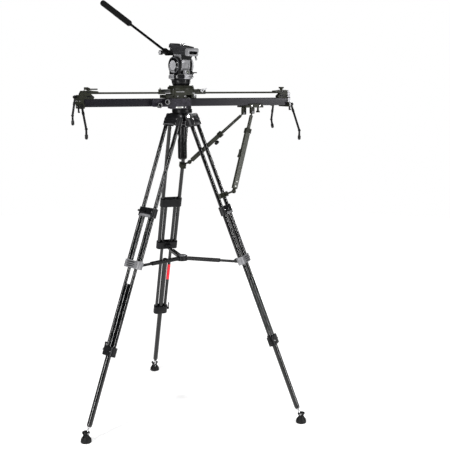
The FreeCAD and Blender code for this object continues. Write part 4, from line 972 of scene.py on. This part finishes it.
def paint_legs():
    """Lower brackets of the two front legs and one end of the right leg's shoulder painted lighter as painted
    highlights, grey moulded faces on the yokes, bright studs at the feet.
    """
    inverses = {key: leg_matrix(key).inverted() for key in LEGS}

    def near(key, middle):
        local = inverses[key] @ middle
        return abs(local.x) < LEG_HALF_WIDTH and abs(local.y) < LEG_HALF_DEPTH

    # Painted highlight: only the two front legs' lower brackets painted grey; the back leg's stays black.
    def is_front_bracket_highlight(middle, normal):
        return near("left", middle) or near("right", middle)
    paint_faces("lower_brackets", "sleeve", is_front_bracket_highlight)

    # Painted highlight: one end of the right leg's shoulder painted mid grey.
    def is_right_shoulder_highlight(middle, normal):
        local = inverses["right"] @ middle
        return near("right", middle) and local.x < HIGHLIGHT_INNER and local.z < HIGHLIGHT_TOP
    paint_faces("leg_shoulders", "mid_cast", is_right_shoulder_highlight)
    for key in LEGS:
        inverse = inverses[key]

        def is_collar(middle, normal, inverse=inverse):
            local = inverse @ middle
            return COLLAR_LOW < local.z < COLLAR_HIGH and local.y > COLLAR_FRONT

        def is_stud(middle, normal, inverse=inverse):
            local = inverse @ middle
            return math.hypot(local.x, local.y) < STUD_RADIUS and local.z < STUD_TOP
        paint_faces("mid_castings_" + key, "sleeve", is_collar)
        paint_faces("low_tube_" + key, "steel", is_stud)


RING_DARK_REFLECTION = (-76.0, -24.0)      # degrees round the pan ring from the head's front: the span facing the camera, painted gloss black as a painted dark reflection; the rest of the ring is painted light grey as a painted reflection
RING_TOP_Z, RING_INNER = 1.6425, 0.05    # from here on, metres in the head's or platform's own frame
WINDOW_Y, WINDOW_TOP, WINDOW_HALF = -0.033, 1.662, 0.0145
SEAT_FROM, SEAT_TO, SEAT_SIDE = 1.7345, 1.7535, 0.0305
DRUM_INNER, DRUM_OUTER, DRUM_HALF = 0.0315, 0.0362, 0.0283
LIP_INNER, LIP_TOP, LIP_FRONT = 0.0255, 1.676, -0.012
NOSE_Y = -0.060
SLOT_LOW, SLOT_HIGH, SLOT_HALF = 1.7435, 1.7585, 0.0245
SLOT_NEAR, SLOT_FAR = -0.0755, -0.065


def paint_head():
    """Pan ring of the head painted light grey at its sides and gloss black where it faces the camera, as
    painted reflections; window frame, drum, seat, cap lip painted lighter as a painted highlight, and nose,
    its slot painted black as painted shade.
    """
    inverse = HEAD.inverted()
    tilt = PLATFORM.inverted()

    def turn_of(local):
        return math.degrees(math.atan2(local.x, -local.y))

    # Painted reflection: the ring's sides, away from the camera, painted light grey.
    def ring_light_reflection(middle, normal):
        local = inverse @ middle
        on_ring = local.z < RING_TOP_Z and math.hypot(local.x, local.y) > RING_INNER
        return on_ring and not RING_DARK_REFLECTION[0] < turn_of(local) < RING_DARK_REFLECTION[1]
    paint_faces("pan_housing", "light_cast", ring_light_reflection)

    # Painted reflection: the span of the ring that faces the camera painted gloss black.
    def ring_dark_reflection(middle, normal):
        local = inverse @ middle
        return local.z < RING_TOP_Z and RING_DARK_REFLECTION[0] <= turn_of(local) <= RING_DARK_REFLECTION[1]
    paint_faces("pan_housing", "gloss_black", ring_dark_reflection)

    def window(middle, normal):
        local = inverse @ middle
        return local.y < WINDOW_Y and RING_TOP_Z < local.z < WINDOW_TOP and abs(local.x) < WINDOW_HALF
    paint_faces("pan_housing", "mid_cast", window)

    def drum(middle, normal):
        local = tilt @ middle
        ring = math.hypot(local.y, local.z - TILT_Z * MM)
        return DRUM_INNER < ring < DRUM_OUTER and abs(local.x) < DRUM_HALF
    paint_faces("tilt_body", "mid_cast", drum)

    def seat_sides(middle, normal):
        local = tilt @ middle
        return SEAT_FROM < local.z < SEAT_TO and abs(local.x) > SEAT_SIDE
    paint_faces("tilt_body", "dark_cast", seat_sides)

    # Painted highlight: the lower, rear arc of the left cap's lip painted mid grey.
    def lit_lip(middle, normal):
        local = inverse @ middle
        reach = math.hypot(local.y, local.z - TILT_Z * MM)
        return local.x < 0 and reach > LIP_INNER and local.z < LIP_TOP and local.y > LIP_FRONT
    paint_faces("tilt_caps", "mid_cast", lit_lip)

    def nose(middle, normal):
        local = tilt @ middle
        return local.y < NOSE_Y and local.z > SEAT_FROM
    paint_faces("tilt_body", "mid_cast", nose)

    # Painted shade: the inside of the nose's slot painted gloss black.
    def slot_painted_shade(middle, normal):
        local = tilt @ middle
        inside = SLOT_LOW < local.z < SLOT_HIGH and abs(local.x) < SLOT_HALF
        return inside and SLOT_NEAR < local.y < SLOT_FAR
    paint_faces("tilt_body", "gloss_black", slot_painted_shade)


END_PLATE, END_PLATE_LOW = 0.0135, 1.46   # the right end plate's thickness and where its paint stops
LEFT_EAR_Y, LEFT_EAR_TOP = -44.5, 1.509
TOE_HEIGHT = 0.024
LEVER_TIP = 0.012


def paint_rest():
    """End brackets, the fold-out legs' toes and the plate lever's tip."""
    right_end = at(BEAM_RIGHT_MM, 0, 0).x
    left_ear = at(0, LEFT_EAR_Y, 0).y

    def end_plate(middle, normal):
        on_front = normal.y < -0.9 and right_end < middle.x < right_end + END_PLATE
        return normal.x > 0.9 or (on_front and middle.z > END_PLATE_LOW)
    paint_faces("end_bracket_right", "mid_cast", end_plate)

    def ear_face(middle, normal):
        return normal.y < -0.9 and middle.y > left_ear and middle.z < LEFT_EAR_TOP
    paint_faces("end_bracket_left", "light_cast", ear_face)
    for corner in ("left_front", "left_back", "right_front", "right_back"):
        node = "fold_leg_" + corner
        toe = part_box(node)[0].z + TOE_HEIGHT
        paint_faces(node, "rubber", lambda middle, normal, toe=toe: middle.z < toe)
    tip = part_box("plate_lever")[0].z + LEVER_TIP
    paint_faces("plate_lever", "light_cast", lambda middle, normal: middle.z < tip)


make_camera()
make_materials()
dress_nodes()
paint_legs()
paint_head()
paint_rest()
make_floor()
make_lights()
make_belt()
make_end_details()
make_carriage_details()
make_saddle_details()
make_head_details()
make_grip()
make_tripod_details()
make_brace_details()
